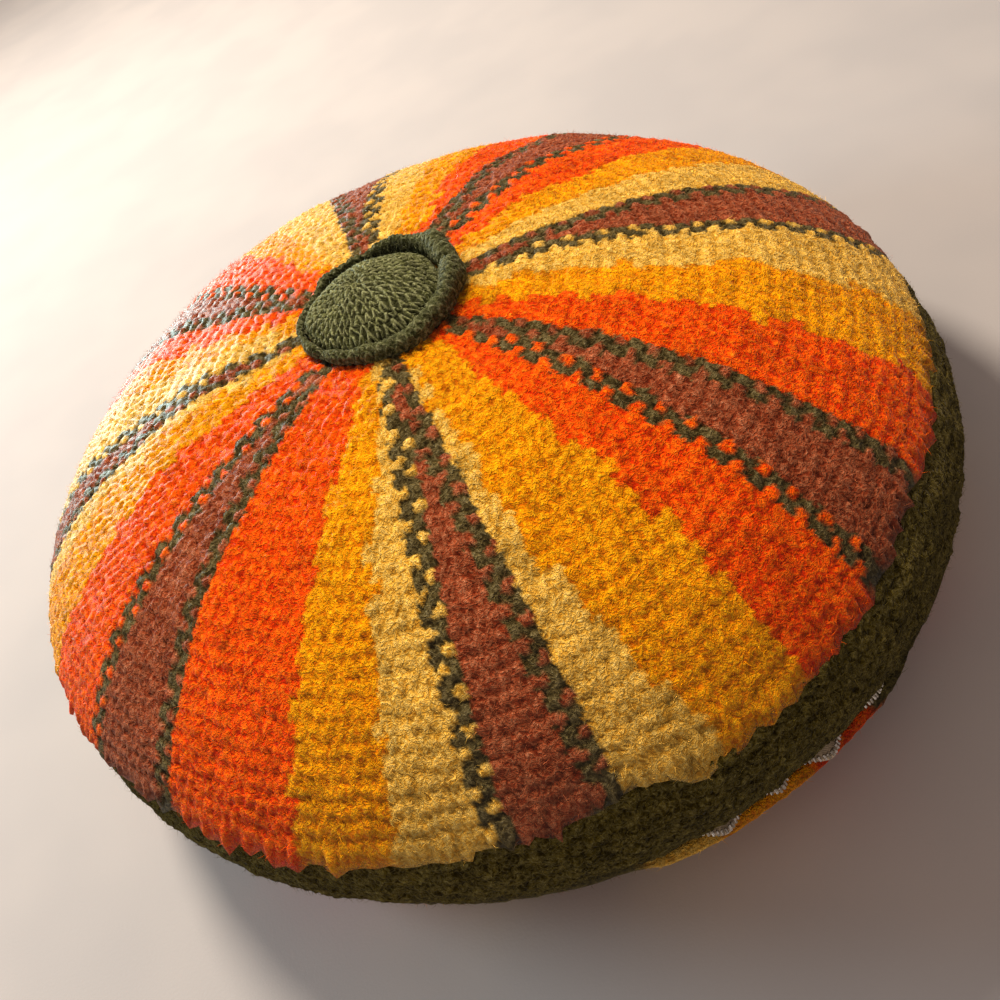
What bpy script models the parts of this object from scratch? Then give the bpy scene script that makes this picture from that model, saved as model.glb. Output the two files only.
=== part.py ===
"""Round crochet cushion, lying on its back with the stuffed front panel up.

The cushion is a drum sewn from three crochet pieces, a crowned front panel, an
upright band and a back panel, and filled until it is taut. A covered button
with a rolled rim is tufted to the middle of the front. A zip closes part of
the seam between the band and the back panel.

Metres, +Z up, floor at z = 0. Angles run from +X towards +Y. Every piece is
first turned about the Z axis in a regular drum, then bend_drum moves its points
to where the real, hand-made cushion has them, so that neighbours stay matched.
"""

import math
from collections import namedtuple

import bmesh
import bpy

MM = 0.001

# The regular drum
SEAM_RADIUS = 190 * MM
SEAM_HEIGHT = 75 * MM
BACK_SEAM_HEIGHT = 30 * MM
CROWN_HEIGHT = 62 * MM
CROWN_FULLNESS = 2.65
CROWN_ROUNDNESS = 0.77
TUFT_DEPTH = 3 * MM
TUFT_RADIUS = 42 * MM
REST_RADIUS = 115 * MM
BAND_BULGE = 6 * MM
BULGE_SHARES = (0.85, 0.95)
CROCHET_THICKNESS = 4 * MM
PANEL_EDGE = 3 * MM
PANEL_UNDERCUT = 0.4 * MM
BAND_SETBACK = 0.6 * MM
FIT_GAP = 0.4 * MM
STEPS_ROUND = 60
BUTTON_STEPS = 40

# Rows of stitches, raised as ribs that run round the cushion
STITCH_ROW = 6.3 * MM
RIB_RISE = 0.7 * MM
RIB_START = 38 * MM
OUTLINE_STEPS = 400
BAND_ROWS = 7
BAND_RIB_RISE = 0.6 * MM

# Where the real cushion departs from the regular drum. Angles in degrees;
# radius of the front and back seam, lift of the front seam and height of the
# band in millimetres
Section = namedtuple("Section", "angle front_radius front_lift back_radius band_height")
SECTIONS = (
    Section(-180, 188.5, -0.9, 187.0, 50),
    Section(-150, 186.0, 0.4, 184.0, 49),
    Section(-120, 189.6, -1.7, 188.5, 40),
    Section(-90, 194.5, -1.2, 198.0, 37),
    Section(-60, 192.4, 3.5, 200.5, 44),
    Section(-30, 187.4, 3.8, 197.3, 50),
    Section(0, 187.4, -2.7, 195.0, 49),
    Section(30, 190.6, -3.5, 195.0, 46),
    Section(60, 190.7, 0.1, 193.5, 45),
    Section(90, 189.6, 2.5, 190.5, 46),
    Section(120, 191.3, 1.7, 190.0, 48),
    Section(150, 191.5, -1.5, 189.0, 50),
)

# A bell-shaped bump at an angle. Angle and half width in degrees.
Bump = namedtuple("Bump", "angle half_width size")

# Where the front seam is drawn up into the panel, mostly at the ends of the
# brown wedges, in millimetres; a negative size pushes it down
PULLS = (
    Bump(-141, 4, 2.6),
    Bump(-102, 3, 1.8),
    Bump(-92.5, 4, 4.2),
    Bump(-87.5, 3, 1.6),
    Bump(-81, 4, -1.8),
    Bump(-71, 6, -2.3),
    Bump(-50, 5, 3.3),
    Bump(-9, 5, 2.4),
    Bump(37, 5, 2.0),
    Bump(83, 5, 2.4),
    Bump(131, 5, 2.0),
    Bump(170, 5, 2.2),
)
PULL_REACH = 18 * MM
PULL_INWARD = 0.5
PULL_UPWARD = 0.85
POLE_SHIFT = (-3.4 * MM, -1.0 * MM)

# The stretch of the back seam where the zip shows
ZIP_ANGLE = -77
ZIP_HALF_ARC = 18
ZIP_GAP_ABOVE = 1.0 * MM
ZIP_GAP_BELOW = 3.2 * MM
LIP_REACH = 2.4 * MM
LIP_FADE = 30 * MM
BAND_EDGE_FADE = 15 * MM
# The filling's corner draws back to make room for the zip: how far, up to which
# heights over the back seam, and over which widths inside the seam
CORNER_RETREAT = 9 * MM
CORNER_HEIGHTS = (22 * MM, 12 * MM)
CORNER_WIDTHS = (45 * MM, 12 * MM)
TAPE_THICKNESS = 0.8 * MM
TAPE_HIDDEN = 9 * MM
TAPE_OUT = 6.6 * MM
TAPE_FOLD = 0.7
# How far the zip bows out, as a share of TAPE_OUT
BOWS = (
    Bump(-85, 2.8, 0.95),
    Bump(-79.3, 2.2, 0.75),
    Bump(-73.3, 2.8, 1.0),
    Bump(-66.8, 3.0, 0.95),
)
TOOTH_PITCH = 2.5 * MM
TOOTH_SIZE = 1.5 * MM
TOOTH_ROOT = 0.7 * MM
TOOTH_DEPTH = 0.7

# The tufted button
PAD_RADIUS = 26.5 * MM
PAD_RISE = 12.5 * MM
PAD_EDGE = 3.5 * MM
PAD_FULLNESS = 0.75
PAD_WAVE = 0.3 * MM
PAD_WAVES = 5
ROLL_GAP = 0.7 * MM
ROLL_WIDTH = 7 * MM
ROLL_HEIGHT = 10 * MM
ROLL_POINTS = 10
ROLL_FIRST_TURN = -125
BUTTON_SHIFT = (0.4 * MM, -0.4 * MM)
# The roll round the pad. Angle in degrees; its height, its outer radius and how
# far its top leans away from the pad, in millimetres
RollSection = namedtuple("RollSection", "angle height outer lean")
ROLL = (
    RollSection(-180, 7.5, 33.0, 0.2),
    RollSection(-135, 7.0, 33.5, 0.0),
    RollSection(-90, 7.0, 34.5, 0.2),
    RollSection(-45, 8.0, 35.0, 0.6),
    RollSection(0, 9.5, 35.5, 1.0),
    RollSection(45, 9.0, 33.8, 1.4),
    RollSection(90, 8.5, 33.8, 2.0),
    RollSection(135, 8.0, 33.5, 1.6),
)

# Middle of the cushion's outline, so that the origin lies under it
OUTLINE_MIDDLE = (2.0 * MM, -3.0 * MM)

COLOURS = {
    "front_panel": (0.78, 0.33, 0.05),
    "gusset": (0.045, 0.048, 0.025),
    "back_panel": (0.80, 0.42, 0.07),
    "button_pad": (0.075, 0.085, 0.04),
    "button_rim": (0.065, 0.075, 0.035),
    "zip_tape": (0.46, 0.40, 0.32),
    "zip_teeth": (0.72, 0.72, 0.74),
}
WOOL_ROUGHNESS = 0.95
METAL_ROUGHNESS = 0.3


def smooth_step(low, high, value):
    """Rise from 0 at low to 1 at high with level ends."""
    share = min(1.0, max(0.0, (value - low) / (high - low)))
    return share * share * (3 - 2 * share)


def angle_between(first, second):
    """Signed turn in degrees from second to first, within half a circle."""
    return (first - second + 180) % 360 - 180


def around(table, name, angle):
    """Read a column of an evenly spaced table at any angle, smoothly."""
    place = (angle - table[0].angle) * len(table) / 360
    row = math.floor(place)
    t = place - row
    before, here, there, after = (getattr(table[(row + k) % len(table)], name) for k in (-1, 0, 1, 2))
    slope_here = (there - before) / 2
    slope_there = (after - here) / 2
    bend = 3 * (there - here) - 2 * slope_here - slope_there
    twist = slope_here + slope_there - 2 * (there - here)
    return here + slope_here * t + bend * t**2 + twist * t**3


def bump_sum(bumps, angle):
    """Add up bell-shaped bumps at an angle."""
    return sum(b.size * math.exp(-((angle_between(angle, b.angle) / b.half_width) ** 2)) for b in bumps)


def zip_share(angle):
    """1 in the middle of the stretch where the zip shows, 0 past its ends."""
    return smooth_step(ZIP_HALF_ARC, ZIP_HALF_ARC * 0.7, abs(angle_between(angle, ZIP_ANGLE)))


def crown_height(radius):
    """Height of the regular front panel over its seam."""
    share = min(1.0, radius / SEAM_RADIUS)
    dome = CROWN_HEIGHT * (1 - share**CROWN_FULLNESS) ** CROWN_ROUNDNESS
    return dome - TUFT_DEPTH * math.exp(-((radius / TUFT_RADIUS) ** 2))


def bend_drum(radius, angle, height):
    """Move a point of the regular drum to its place on the real cushion."""
    span = SEAM_HEIGHT - BACK_SEAM_HEIGHT
    share = radius / SEAM_RADIUS
    front = around(SECTIONS, "front_radius", angle) * MM / SEAM_RADIUS
    back = around(SECTIONS, "back_radius", angle) * MM / SEAM_RADIUS
    front_seam = SEAM_HEIGHT + around(SECTIONS, "front_lift", angle) * MM
    back_seam = front_seam - around(SECTIONS, "band_height", angle) * MM
    if height >= SEAM_HEIGHT:
        stretch = front
        new_height = height + (front_seam - SEAM_HEIGHT) * min(1.0, share) ** 2
    elif height >= BACK_SEAM_HEIGHT:
        up = (height - BACK_SEAM_HEIGHT) / span
        stretch = back + (front - back) * up
        new_height = back_seam + (front_seam - back_seam) * up
    else:
        up = height / BACK_SEAM_HEIGHT
        stretch = 1 + (back - 1) * up
        new_height = back_seam * up
    new_radius = radius * stretch
    if BACK_SEAM_HEIGHT < height < SEAM_HEIGHT:
        wave = math.sin(math.pi * (height - BACK_SEAM_HEIGHT) / span)
        new_radius += BAND_BULGE * wave * smooth_step(*BULGE_SHARES, share)
    away = math.hypot(SEAM_RADIUS - radius, height - SEAM_HEIGHT) / PULL_REACH
    draw = bump_sum(PULLS, angle) * MM * math.exp(-(away**2))
    new_radius -= PULL_INWARD * draw
    new_height += PULL_UPWARD * draw
    turn = math.radians(angle)
    to_pole = max(0.0, 1 - share) if height >= SEAM_HEIGHT else 0.0
    return (
        new_radius * math.cos(turn) + POLE_SHIFT[0] * to_pole - OUTLINE_MIDDLE[0],
        new_radius * math.sin(turn) + POLE_SHIFT[1] * to_pole - OUTLINE_MIDDLE[1],
        new_height,
    )


def crown_outline():
    """Smooth section of the front panel, each point with its length from the pole."""
    outline = []
    length = 0.0
    for step in range(OUTLINE_STEPS + 1):
        radius = SEAM_RADIUS * math.sin(math.pi / 2 * step / OUTLINE_STEPS)
        point = (radius, SEAM_HEIGHT + crown_height(radius))
        length += math.dist(point, outline[-1][1]) if outline else 0.0
        outline.append((length, point))
    return outline


def point_on_outline(outline, length, rise):
    """Point at a length along an outline, raised square to it."""
    after = next((k for k, (reach, _) in enumerate(outline) if reach >= length and k), len(outline) - 1)
    (start, low), (end, high) = outline[after - 1], outline[after]
    share = min(1.0, max(0.0, (length - start) / (end - start)))
    run, climb = high[0] - low[0], high[1] - low[1]
    size = math.hypot(run, climb)
    return (low[0] + share * run - rise * climb / size, low[1] + share * climb + rise * run / size)


def crown_profile():
    """Points of the front panel from its pole to its seam, with raised rows."""
    outline = crown_outline()
    ribbed = outline[-1][0] - RIB_START
    halves = 2 * round(ribbed / STITCH_ROW)
    points = [point_on_outline(outline, share * RIB_START, 0.0) for share in (0.0, 0.35, 0.7)]
    for half in range(halves + 1):
        rise = 0.0 if half in (0, halves) else RIB_RISE * (1 if half % 2 else -1)
        points.append(point_on_outline(outline, RIB_START + ribbed * half / halves, rise))
    return points


def dish_arc(inset, steps=8):
    """Back panel's quarter ellipse from its seam down to the flat patch."""
    reach = SEAM_RADIUS - REST_RADIUS - inset
    drop = BACK_SEAM_HEIGHT - inset
    turns = [math.pi / 2 * (1 - step / steps) for step in range(steps + 1)]
    return [(REST_RADIUS + reach * math.sin(t), inset + drop * (1 - math.cos(t))) for t in turns]


def front_rule(radius, angle, height):
    """Draw the filling back from the back seam where the zip lies."""
    low = smooth_step(*CORNER_HEIGHTS, height - BACK_SEAM_HEIGHT)
    out = smooth_step(*CORNER_WIDTHS, SEAM_RADIUS - radius)
    return radius - CORNER_RETREAT * zip_share(angle) * low * out, height


def gusset_rule(radius, angle, height):
    """Raise the band's lower edge a little over the zip."""
    low = smooth_step(BAND_EDGE_FADE, 0.0, height - BACK_SEAM_HEIGHT)
    return radius, height + ZIP_GAP_ABOVE * zip_share(angle) * low


def back_rule(radius, angle, height):
    """Let the back panel's edge sag and stand out below the zip."""
    out = smooth_step(SEAM_RADIUS - LIP_FADE, SEAM_RADIUS - CROCHET_THICKNESS, radius) * zip_share(angle)
    up = smooth_step(0.0, BACK_SEAM_HEIGHT, height)
    return radius + LIP_REACH * out * up, height - ZIP_GAP_BELOW * out * up


def pad_rule(radius, angle, height):
    """Make the pad's edge a little uneven."""
    wave = PAD_WAVE * math.sin(math.radians(PAD_WAVES * angle)) * radius / PAD_RADIUS
    return radius + wave, height


def roll_rule(radius, angle, height):
    """Give the button's roll its height, width and lean at each angle."""
    floor = SEAM_HEIGHT + crown_height(radius) + FIT_GAP
    up = (height - floor) / ROLL_HEIGHT
    inner = PAD_RADIUS + ROLL_GAP
    width = around(ROLL, "outer", angle) * MM - inner
    tall = around(ROLL, "height", angle) * MM
    lean = around(ROLL, "lean", angle) * MM * max(0.0, up) ** 2
    across = (radius - inner) / ROLL_WIDTH
    new_radius = inner + across * width + lean
    return new_radius, SEAM_HEIGHT + crown_height(new_radius) + FIT_GAP + up * tall


def add_object(name, bm, collection):
    """Make a bmesh into a smooth object with its own material."""
    mesh = bpy.data.meshes.new(name)
    bmesh.ops.recalc_face_normals(bm, faces=bm.faces)
    bm.to_mesh(mesh)
    bm.free()
    mesh.shade_smooth()
    material = bpy.data.materials.new(name)
    material.use_nodes = True
    shader = material.node_tree.nodes["Principled BSDF"]
    shader.inputs["Base Color"].default_value = (*COLOURS[name], 1)
    metal = name == "zip_teeth"
    shader.inputs["Metallic"].default_value = 1.0 if metal else 0.0
    shader.inputs["Roughness"].default_value = METAL_ROUGHNESS if metal else WOOL_ROUGHNESS
    mesh.materials.append(material)
    thing = bpy.data.objects.new(name, mesh)
    collection.objects.link(thing)
    return thing


def turn_profile(name, profile, closed, rule, collection, steps=STEPS_ROUND, shift=(0.0, 0.0)):
    """Turn a profile about the Z axis, then bend it to the real cushion."""
    bm = bmesh.new()
    verts = [bm.verts.new((radius, 0.0, height)) for radius, height in profile]
    edges = [bm.edges.new(pair) for pair in zip(verts, verts[1:])]
    if closed:
        edges.append(bm.edges.new((verts[-1], verts[0])))
    bmesh.ops.spin(
        bm, geom=verts + edges, cent=(0, 0, 0), axis=(0, 0, 1), angle=math.tau, steps=steps, use_merge=True
    )
    bmesh.ops.remove_doubles(bm, verts=bm.verts, dist=0.001 * MM)
    for vert in bm.verts:
        radius = math.hypot(vert.co.x, vert.co.y)
        angle = math.degrees(math.atan2(vert.co.y, vert.co.x))
        new_radius, new_height = rule(radius, angle, vert.co.z)
        x, y, z = bend_drum(new_radius, angle, new_height)
        vert.co = (x + shift[0], y + shift[1], z)
    return add_object(name, bm, collection)


def make_front_panel(collection):
    """The filled solid: crowned panel above, filling inside band and back."""
    wall = SEAM_RADIUS - CROCHET_THICKNESS - FIT_GAP
    profile = crown_profile()
    profile.append((SEAM_RADIUS - PANEL_UNDERCUT, SEAM_HEIGHT - PANEL_EDGE))
    profile.append((wall, SEAM_HEIGHT - PANEL_EDGE))
    drop = SEAM_HEIGHT - PANEL_EDGE - BACK_SEAM_HEIGHT
    profile += [(wall, BACK_SEAM_HEIGHT + drop * quarter / 4) for quarter in (3, 2, 1)]
    profile += dish_arc(CROCHET_THICKNESS + FIT_GAP)
    profile += [(REST_RADIUS / 2, CROCHET_THICKNESS + FIT_GAP), (0.0, CROCHET_THICKNESS + FIT_GAP)]
    return turn_profile("front_panel", profile, False, front_rule, collection)


def make_gusset(collection):
    """The upright band, with its rows of stitches raised."""
    top = SEAM_HEIGHT - PANEL_EDGE - FIT_GAP
    bottom = BACK_SEAM_HEIGHT + FIT_GAP
    outer = SEAM_RADIUS - BAND_SETBACK
    inner = SEAM_RADIUS - CROCHET_THICKNESS
    halves = 2 * BAND_ROWS
    profile = []
    for half in range(halves + 1):
        rise = BAND_RIB_RISE if half % 2 else 0.0
        profile.append((outer + rise, top + (bottom - top) * half / halves))
    profile += [(inner, bottom + (top - bottom) * quarter / 4) for quarter in range(5)]
    return turn_profile("gusset", profile, True, gusset_rule, collection)


def make_back_panel(collection):
    """The back panel, a shallow dish that is flat where it rests."""
    inside = dish_arc(CROCHET_THICKNESS)
    profile = [(0.0, CROCHET_THICKNESS), (REST_RADIUS / 2, CROCHET_THICKNESS)]
    profile += reversed(inside)
    profile += dish_arc(0.0)
    profile += [(REST_RADIUS / 2, 0.0), (0.0, 0.0)]
    return turn_profile("back_panel", profile, False, back_rule, collection)


def make_button_pad(collection):
    """The button's padded dome."""
    base = [(share * PAD_RADIUS, FIT_GAP) for share in (1.0, 0.6, 0.0)]
    dome = []
    steps = 7
    for step in range(steps + 1):
        turn = math.pi / 2 * step / steps
        radius = PAD_RADIUS * math.sin(turn) ** PAD_FULLNESS
        dome.append((radius, PAD_EDGE + (PAD_RISE - PAD_EDGE) * math.cos(turn) ** PAD_FULLNESS))
    profile = [(radius, SEAM_HEIGHT + crown_height(radius) + rise) for radius, rise in dome + base]
    return turn_profile("button_pad", profile, False, pad_rule, collection, BUTTON_STEPS, BUTTON_SHIFT)


def make_button_rim(collection):
    """The rolled rim that stands up round the pad."""
    inner = PAD_RADIUS + ROLL_GAP
    profile = []
    for point in range(ROLL_POINTS):
        turn = math.radians(ROLL_FIRST_TURN - 360 * point / ROLL_POINTS)
        across = ROLL_WIDTH * (1 + math.cos(turn)) / 2
        up = max(0.0, ROLL_HEIGHT * (0.46 + 0.54 * math.sin(turn)))
        profile.append((inner + across, SEAM_HEIGHT + crown_height(inner + across) + FIT_GAP + up))
    return turn_profile("button_rim", profile, True, roll_rule, collection, BUTTON_STEPS, BUTTON_SHIFT)


def zip_section(angle):
    """Middle line of the zip tape at an angle, from its hidden edge down."""
    share = zip_share(angle)
    behind = SEAM_RADIUS - CROCHET_THICKNESS - 2 * FIT_GAP - TAPE_THICKNESS / 2
    top = BACK_SEAM_HEIGHT + ZIP_GAP_ABOVE * share - 0.3 * FIT_GAP - TAPE_THICKNESS / 2
    low = BACK_SEAM_HEIGHT - ZIP_GAP_BELOW * share + 1.5 * FIT_GAP + TAPE_THICKNESS / 2
    bow = TAPE_OUT * bump_sum(BOWS, angle) * share
    crest = (top + low) / 2
    return [
        (behind, top + TAPE_HIDDEN),
        (behind, top + 0.5 * TAPE_HIDDEN),
        (behind, top),
        (behind + TAPE_FOLD * bow, top - 0.15 * MM),
        (behind + bow, crest),
        (behind + TAPE_FOLD * bow, low + 0.15 * MM),
        (behind - 1.5 * MM, low + 0.4 * MM),
    ]


def zip_stations(step):
    """Angles along the stretch where the zip shows."""
    reach = ZIP_HALF_ARC * 0.8
    count = round(2 * reach / step)
    return [ZIP_ANGLE - reach + 2 * reach * index / count for index in range(count + 1)]


def make_zip_tape(collection):
    """The zip's cloth tape, bowing out of the open seam."""
    bm = bmesh.new()
    rows = []
    for angle in zip_stations(1.15):
        rows.append([bm.verts.new(bend_drum(radius, angle, height)) for radius, height in zip_section(angle)])
    for low, high in zip(rows, rows[1:]):
        for index in range(len(low) - 1):
            bm.faces.new((low[index], low[index + 1], high[index + 1], high[index]))
    tape = add_object("zip_tape", bm, collection)
    wall = tape.modifiers.new("thickness", "SOLIDIFY")
    wall.thickness = TAPE_THICKNESS
    wall.offset = 0.0
    return tape


def make_zip_teeth(collection):
    """The closed metal teeth, fused in one strip along the tape's crest."""
    pitch = math.degrees(TOOTH_PITCH / SEAM_RADIUS)
    bm = bmesh.new()
    rings = []
    for index, angle in enumerate(zip_stations(pitch / 4)):
        radius, height = zip_section(angle)[4]
        size = TOOTH_SIZE if index % 4 < 2 else TOOTH_ROOT
        near = radius + TAPE_THICKNESS / 2 + FIT_GAP
        far = near + size * TOOTH_DEPTH
        corners = ((near, -size / 2), (far, -size / 2), (far, size / 2), (near, size / 2))
        rings.append([bm.verts.new(bend_drum(r, angle, height + h)) for r, h in corners])
    for low, high in zip(rings, rings[1:]):
        for corner in range(4):
            after = (corner + 1) % 4
            bm.faces.new((low[corner], low[after], high[after], high[corner]))
    bm.faces.new(rings[0])
    bm.faces.new(rings[-1])
    return add_object("zip_teeth", bm, collection)


def main():
    """Clear the scene and build every piece of the cushion."""
    for thing in list(bpy.data.objects):
        bpy.data.objects.remove(thing)
    collection = bpy.data.collections.new("round_crochet_cushion")
    bpy.context.scene.collection.children.link(collection)
    make_front_panel(collection)
    make_gusset(collection)
    make_back_panel(collection)
    make_button_pad(collection)
    make_button_rim(collection)
    make_zip_tape(collection)
    make_zip_teeth(collection)


main()
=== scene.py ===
"""Dresses the round crochet cushion: stitches, stripes, button, zip, floor and light.

Every worked surface starts as a flat grid. Its columns go round the cushion and its
rings go along a section. The grid is bent to the cushion's form, closed, and then
raised stitch by stitch. Sizes are in metres unless a name says otherwise.
"""

import logging
import math
from dataclasses import dataclass, field
from enum import Enum
from typing import Callable, Sequence

import bmesh
import bpy
import numpy as np
from mathutils import Matrix, Vector


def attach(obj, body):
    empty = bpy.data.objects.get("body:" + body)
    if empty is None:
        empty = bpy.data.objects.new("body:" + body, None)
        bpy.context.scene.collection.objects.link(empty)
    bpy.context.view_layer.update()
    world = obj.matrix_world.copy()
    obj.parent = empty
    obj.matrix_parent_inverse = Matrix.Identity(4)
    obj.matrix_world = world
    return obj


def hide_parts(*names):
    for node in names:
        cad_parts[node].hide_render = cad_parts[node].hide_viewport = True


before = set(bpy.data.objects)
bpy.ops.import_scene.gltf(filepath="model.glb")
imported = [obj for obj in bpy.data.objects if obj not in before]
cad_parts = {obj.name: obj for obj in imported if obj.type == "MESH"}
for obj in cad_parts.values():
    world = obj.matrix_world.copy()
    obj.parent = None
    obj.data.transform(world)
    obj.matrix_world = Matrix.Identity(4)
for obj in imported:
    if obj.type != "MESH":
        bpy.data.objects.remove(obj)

LOG = logging.getLogger("cushion")
MM = 0.001
SEED = 41
SAME_LEVEL = 1e-5
WELD_REACH = 0.002 * MM
WAVE_SPREAD = (0.7, 1.6)
FINE_COUNT = 24
TONE_RANGE = (0.75, 1.25)

Array = np.ndarray
Pair = tuple[float, float]
Colour = tuple[float, float, float, float]


@dataclass(frozen=True)
class Section:
    """What the cushion measures at one angle round it, in degrees and millimetres."""

    angle: float
    front_radius: float
    front_lift: float
    back_radius: float
    band_height: float


@dataclass(frozen=True)
class Bump:
    """A bell-shaped change at one angle, in degrees and millimetres."""

    angle: float
    half_width: float
    size: float


@dataclass(frozen=True)
class Spot:
    """A round dent or knob at one place of the button, in millimetres."""

    x: float
    y: float
    radius: float
    size: float


@dataclass(frozen=True)
class RollSection:
    """The button's rolled rim at one angle, in degrees and millimetres."""

    angle: float
    height: float
    outer: float
    lean: float
    slit: float
    pad: float


# Seams and band once round the cushion.
SECTIONS = (
    Section(-180, 188.5, -0.9, 187, 49),
    Section(-150, 186, 0.4, 184, 49),
    Section(-120, 189.6, -1.7, 188.5, 40),
    Section(-90, 194.5, -1.2, 198, 37),
    Section(-60, 192.4, 3.5, 200.5, 44),
    Section(-30, 187.4, 3.8, 197.3, 50),
    Section(0, 187.4, -2.7, 195, 49),
    Section(30, 190.6, -3.5, 195, 46),
    Section(60, 190.7, 0.1, 193.5, 45),
    Section(90, 189.6, 2.5, 190.5, 46),
    Section(120, 191.3, 1.7, 190, 48),
    Section(150, 191.5, -1.5, 189, 50),
)
# Where the thread draws the front's edge up or lets it down.
PULLS = (
    Bump(-141, 4, 2.6),
    Bump(-102, 3, 1.8),
    Bump(-92.5, 4, 4.2),
    Bump(-87.5, 3, 1.6),
    Bump(-81, 4, -1.8),
    Bump(-71, 6, -2.3),
    Bump(-50, 5, 3.3),
    Bump(-9, 5, 2.4),
    Bump(37, 5, 2.0),
    Bump(83, 5, 2.4),
    Bump(131, 5, 2.0),
    Bump(170, 5, 2.2),
)
# Where the zip bows out between its folds, as shares of its whole reach.
BOWS = (
    Bump(-85, 2.1, 0.95),
    Bump(-78.9, 1.4, 0.7),
    Bump(-73.3, 2.1, 1.0),
    Bump(-66.5, 2.6, 0.55),
)
# The button's rim once round. The slit parts it from the dome, which the pad column widens.
ROLLS = (
    RollSection(-180, 5.4, 33, 0.2, 0.2, 2.4),
    RollSection(-135, 6.4, 33.5, 0, 0.2, 1.0),
    RollSection(-90, 7, 34.5, 0.2, 0.2, 0.4),
    RollSection(-45, 9, 35.5, 0.6, 0.2, 0),
    RollSection(0, 10.5, 36.2, 0.8, 0.1, 0),
    RollSection(45, 9.5, 34.3, 1.4, 1.8, 0),
    RollSection(90, 6.6, 33.6, 1.2, 2.8, 0),
    RollSection(135, 5.2, 32.8, 0.8, 1.2, 0.9),
)
# Lumps and nicks of the rim.
LUMPS = (
    Bump(22, 10, 1.2),
    Bump(-28, 12, 1.2),
    Bump(-4, 5, -2.2),
    Bump(-152, 5, -1.4),
    Bump(118, 7, 0.8),
    Bump(84, 5, -1.0),
    Bump(58, 6, 0.8),
)
# Dents and knobs of the dome. The first dent is where its rounds begin.
SPOTS = (
    Spot(-3.5, 6.9, 1.9, -2.0),
    Spot(2.2, 5.4, 2.6, 1.1),
    Spot(-9.0, -9.0, 9.0, 0.8),
    Spot(14.0, -6.0, 8.0, -0.7),
)


def smooth_step(low: float, high: float, value: Array) -> Array:
    """Rise from 0 at low to 1 at high with level ends."""
    share = np.clip((value - low) / (high - low), 0.0, 1.0)
    return share * share * (3 - 2 * share)


def turn_between(first: Array, second: float) -> Array:
    """Signed turn in degrees from second to first, within half a circle."""
    return (first - second + 180) % 360 - 180


def around(table: Sequence, name: str, angle: Array) -> Array:
    """Read a column of an evenly spaced table at any angle, smoothly.

    Args:
        table: rows at even angles, once round.
        name: the column.
        angle: degrees.

    Returns:
        The column's value at each angle.
    """
    values = np.array([getattr(row, name) for row in table], float)
    place = (np.asarray(angle, float) - table[0].angle) * len(table) / 360
    row = np.floor(place).astype(int)
    t = place - row
    before, here, there, after = (values[(row + k) % len(table)] for k in (-1, 0, 1, 2))
    slope_here = (there - before) / 2
    slope_there = (after - here) / 2
    bend = 3 * (there - here) - 2 * slope_here - slope_there
    twist = slope_here + slope_there - 2 * (there - here)
    return here + slope_here * t + bend * t**2 + twist * t**3


def bump_sum(bumps: Sequence[Bump], angle: Array) -> Array:
    """Add up bell-shaped bumps at each angle, in their own unit."""
    total = np.zeros_like(np.asarray(angle, float))
    for bump in bumps:
        total = total + bump.size * np.exp(-((turn_between(angle, bump.angle) / bump.half_width) ** 2))
    return total


def soft_waves(points: Array, wavelength: float, seed: int, count: int = 14) -> Array:
    """A smooth uneven field over points in space.

    Args:
        points: places, one row each.
        wavelength: typical distance between two swells.
        seed: picks the field.
        count: how many plain waves are added.

    Returns:
        Values of about -1 to 1.
    """
    rng = np.random.default_rng(seed)
    total = np.zeros(len(points))
    for _ in range(count):
        way = rng.normal(size=3)
        way *= math.tau / (np.linalg.norm(way) * wavelength * rng.uniform(*WAVE_SPREAD))
        total += np.sin(points @ way + rng.uniform(0, math.tau))
    return total / math.sqrt(count)


def lengths_along(radius: Array, height: Array) -> Array:
    """The length of a section's line from its start to each of its points."""
    return np.concatenate([[0.0], np.cumsum(np.hypot(np.diff(radius), np.diff(height)))])


def read_rings(ring: Array, *columns: Array) -> tuple[Array, ...]:
    """Read a section's columns, which have one row for each ring, at any rings."""
    return tuple(np.interp(ring, np.arange(len(column)), column) for column in columns)


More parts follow.
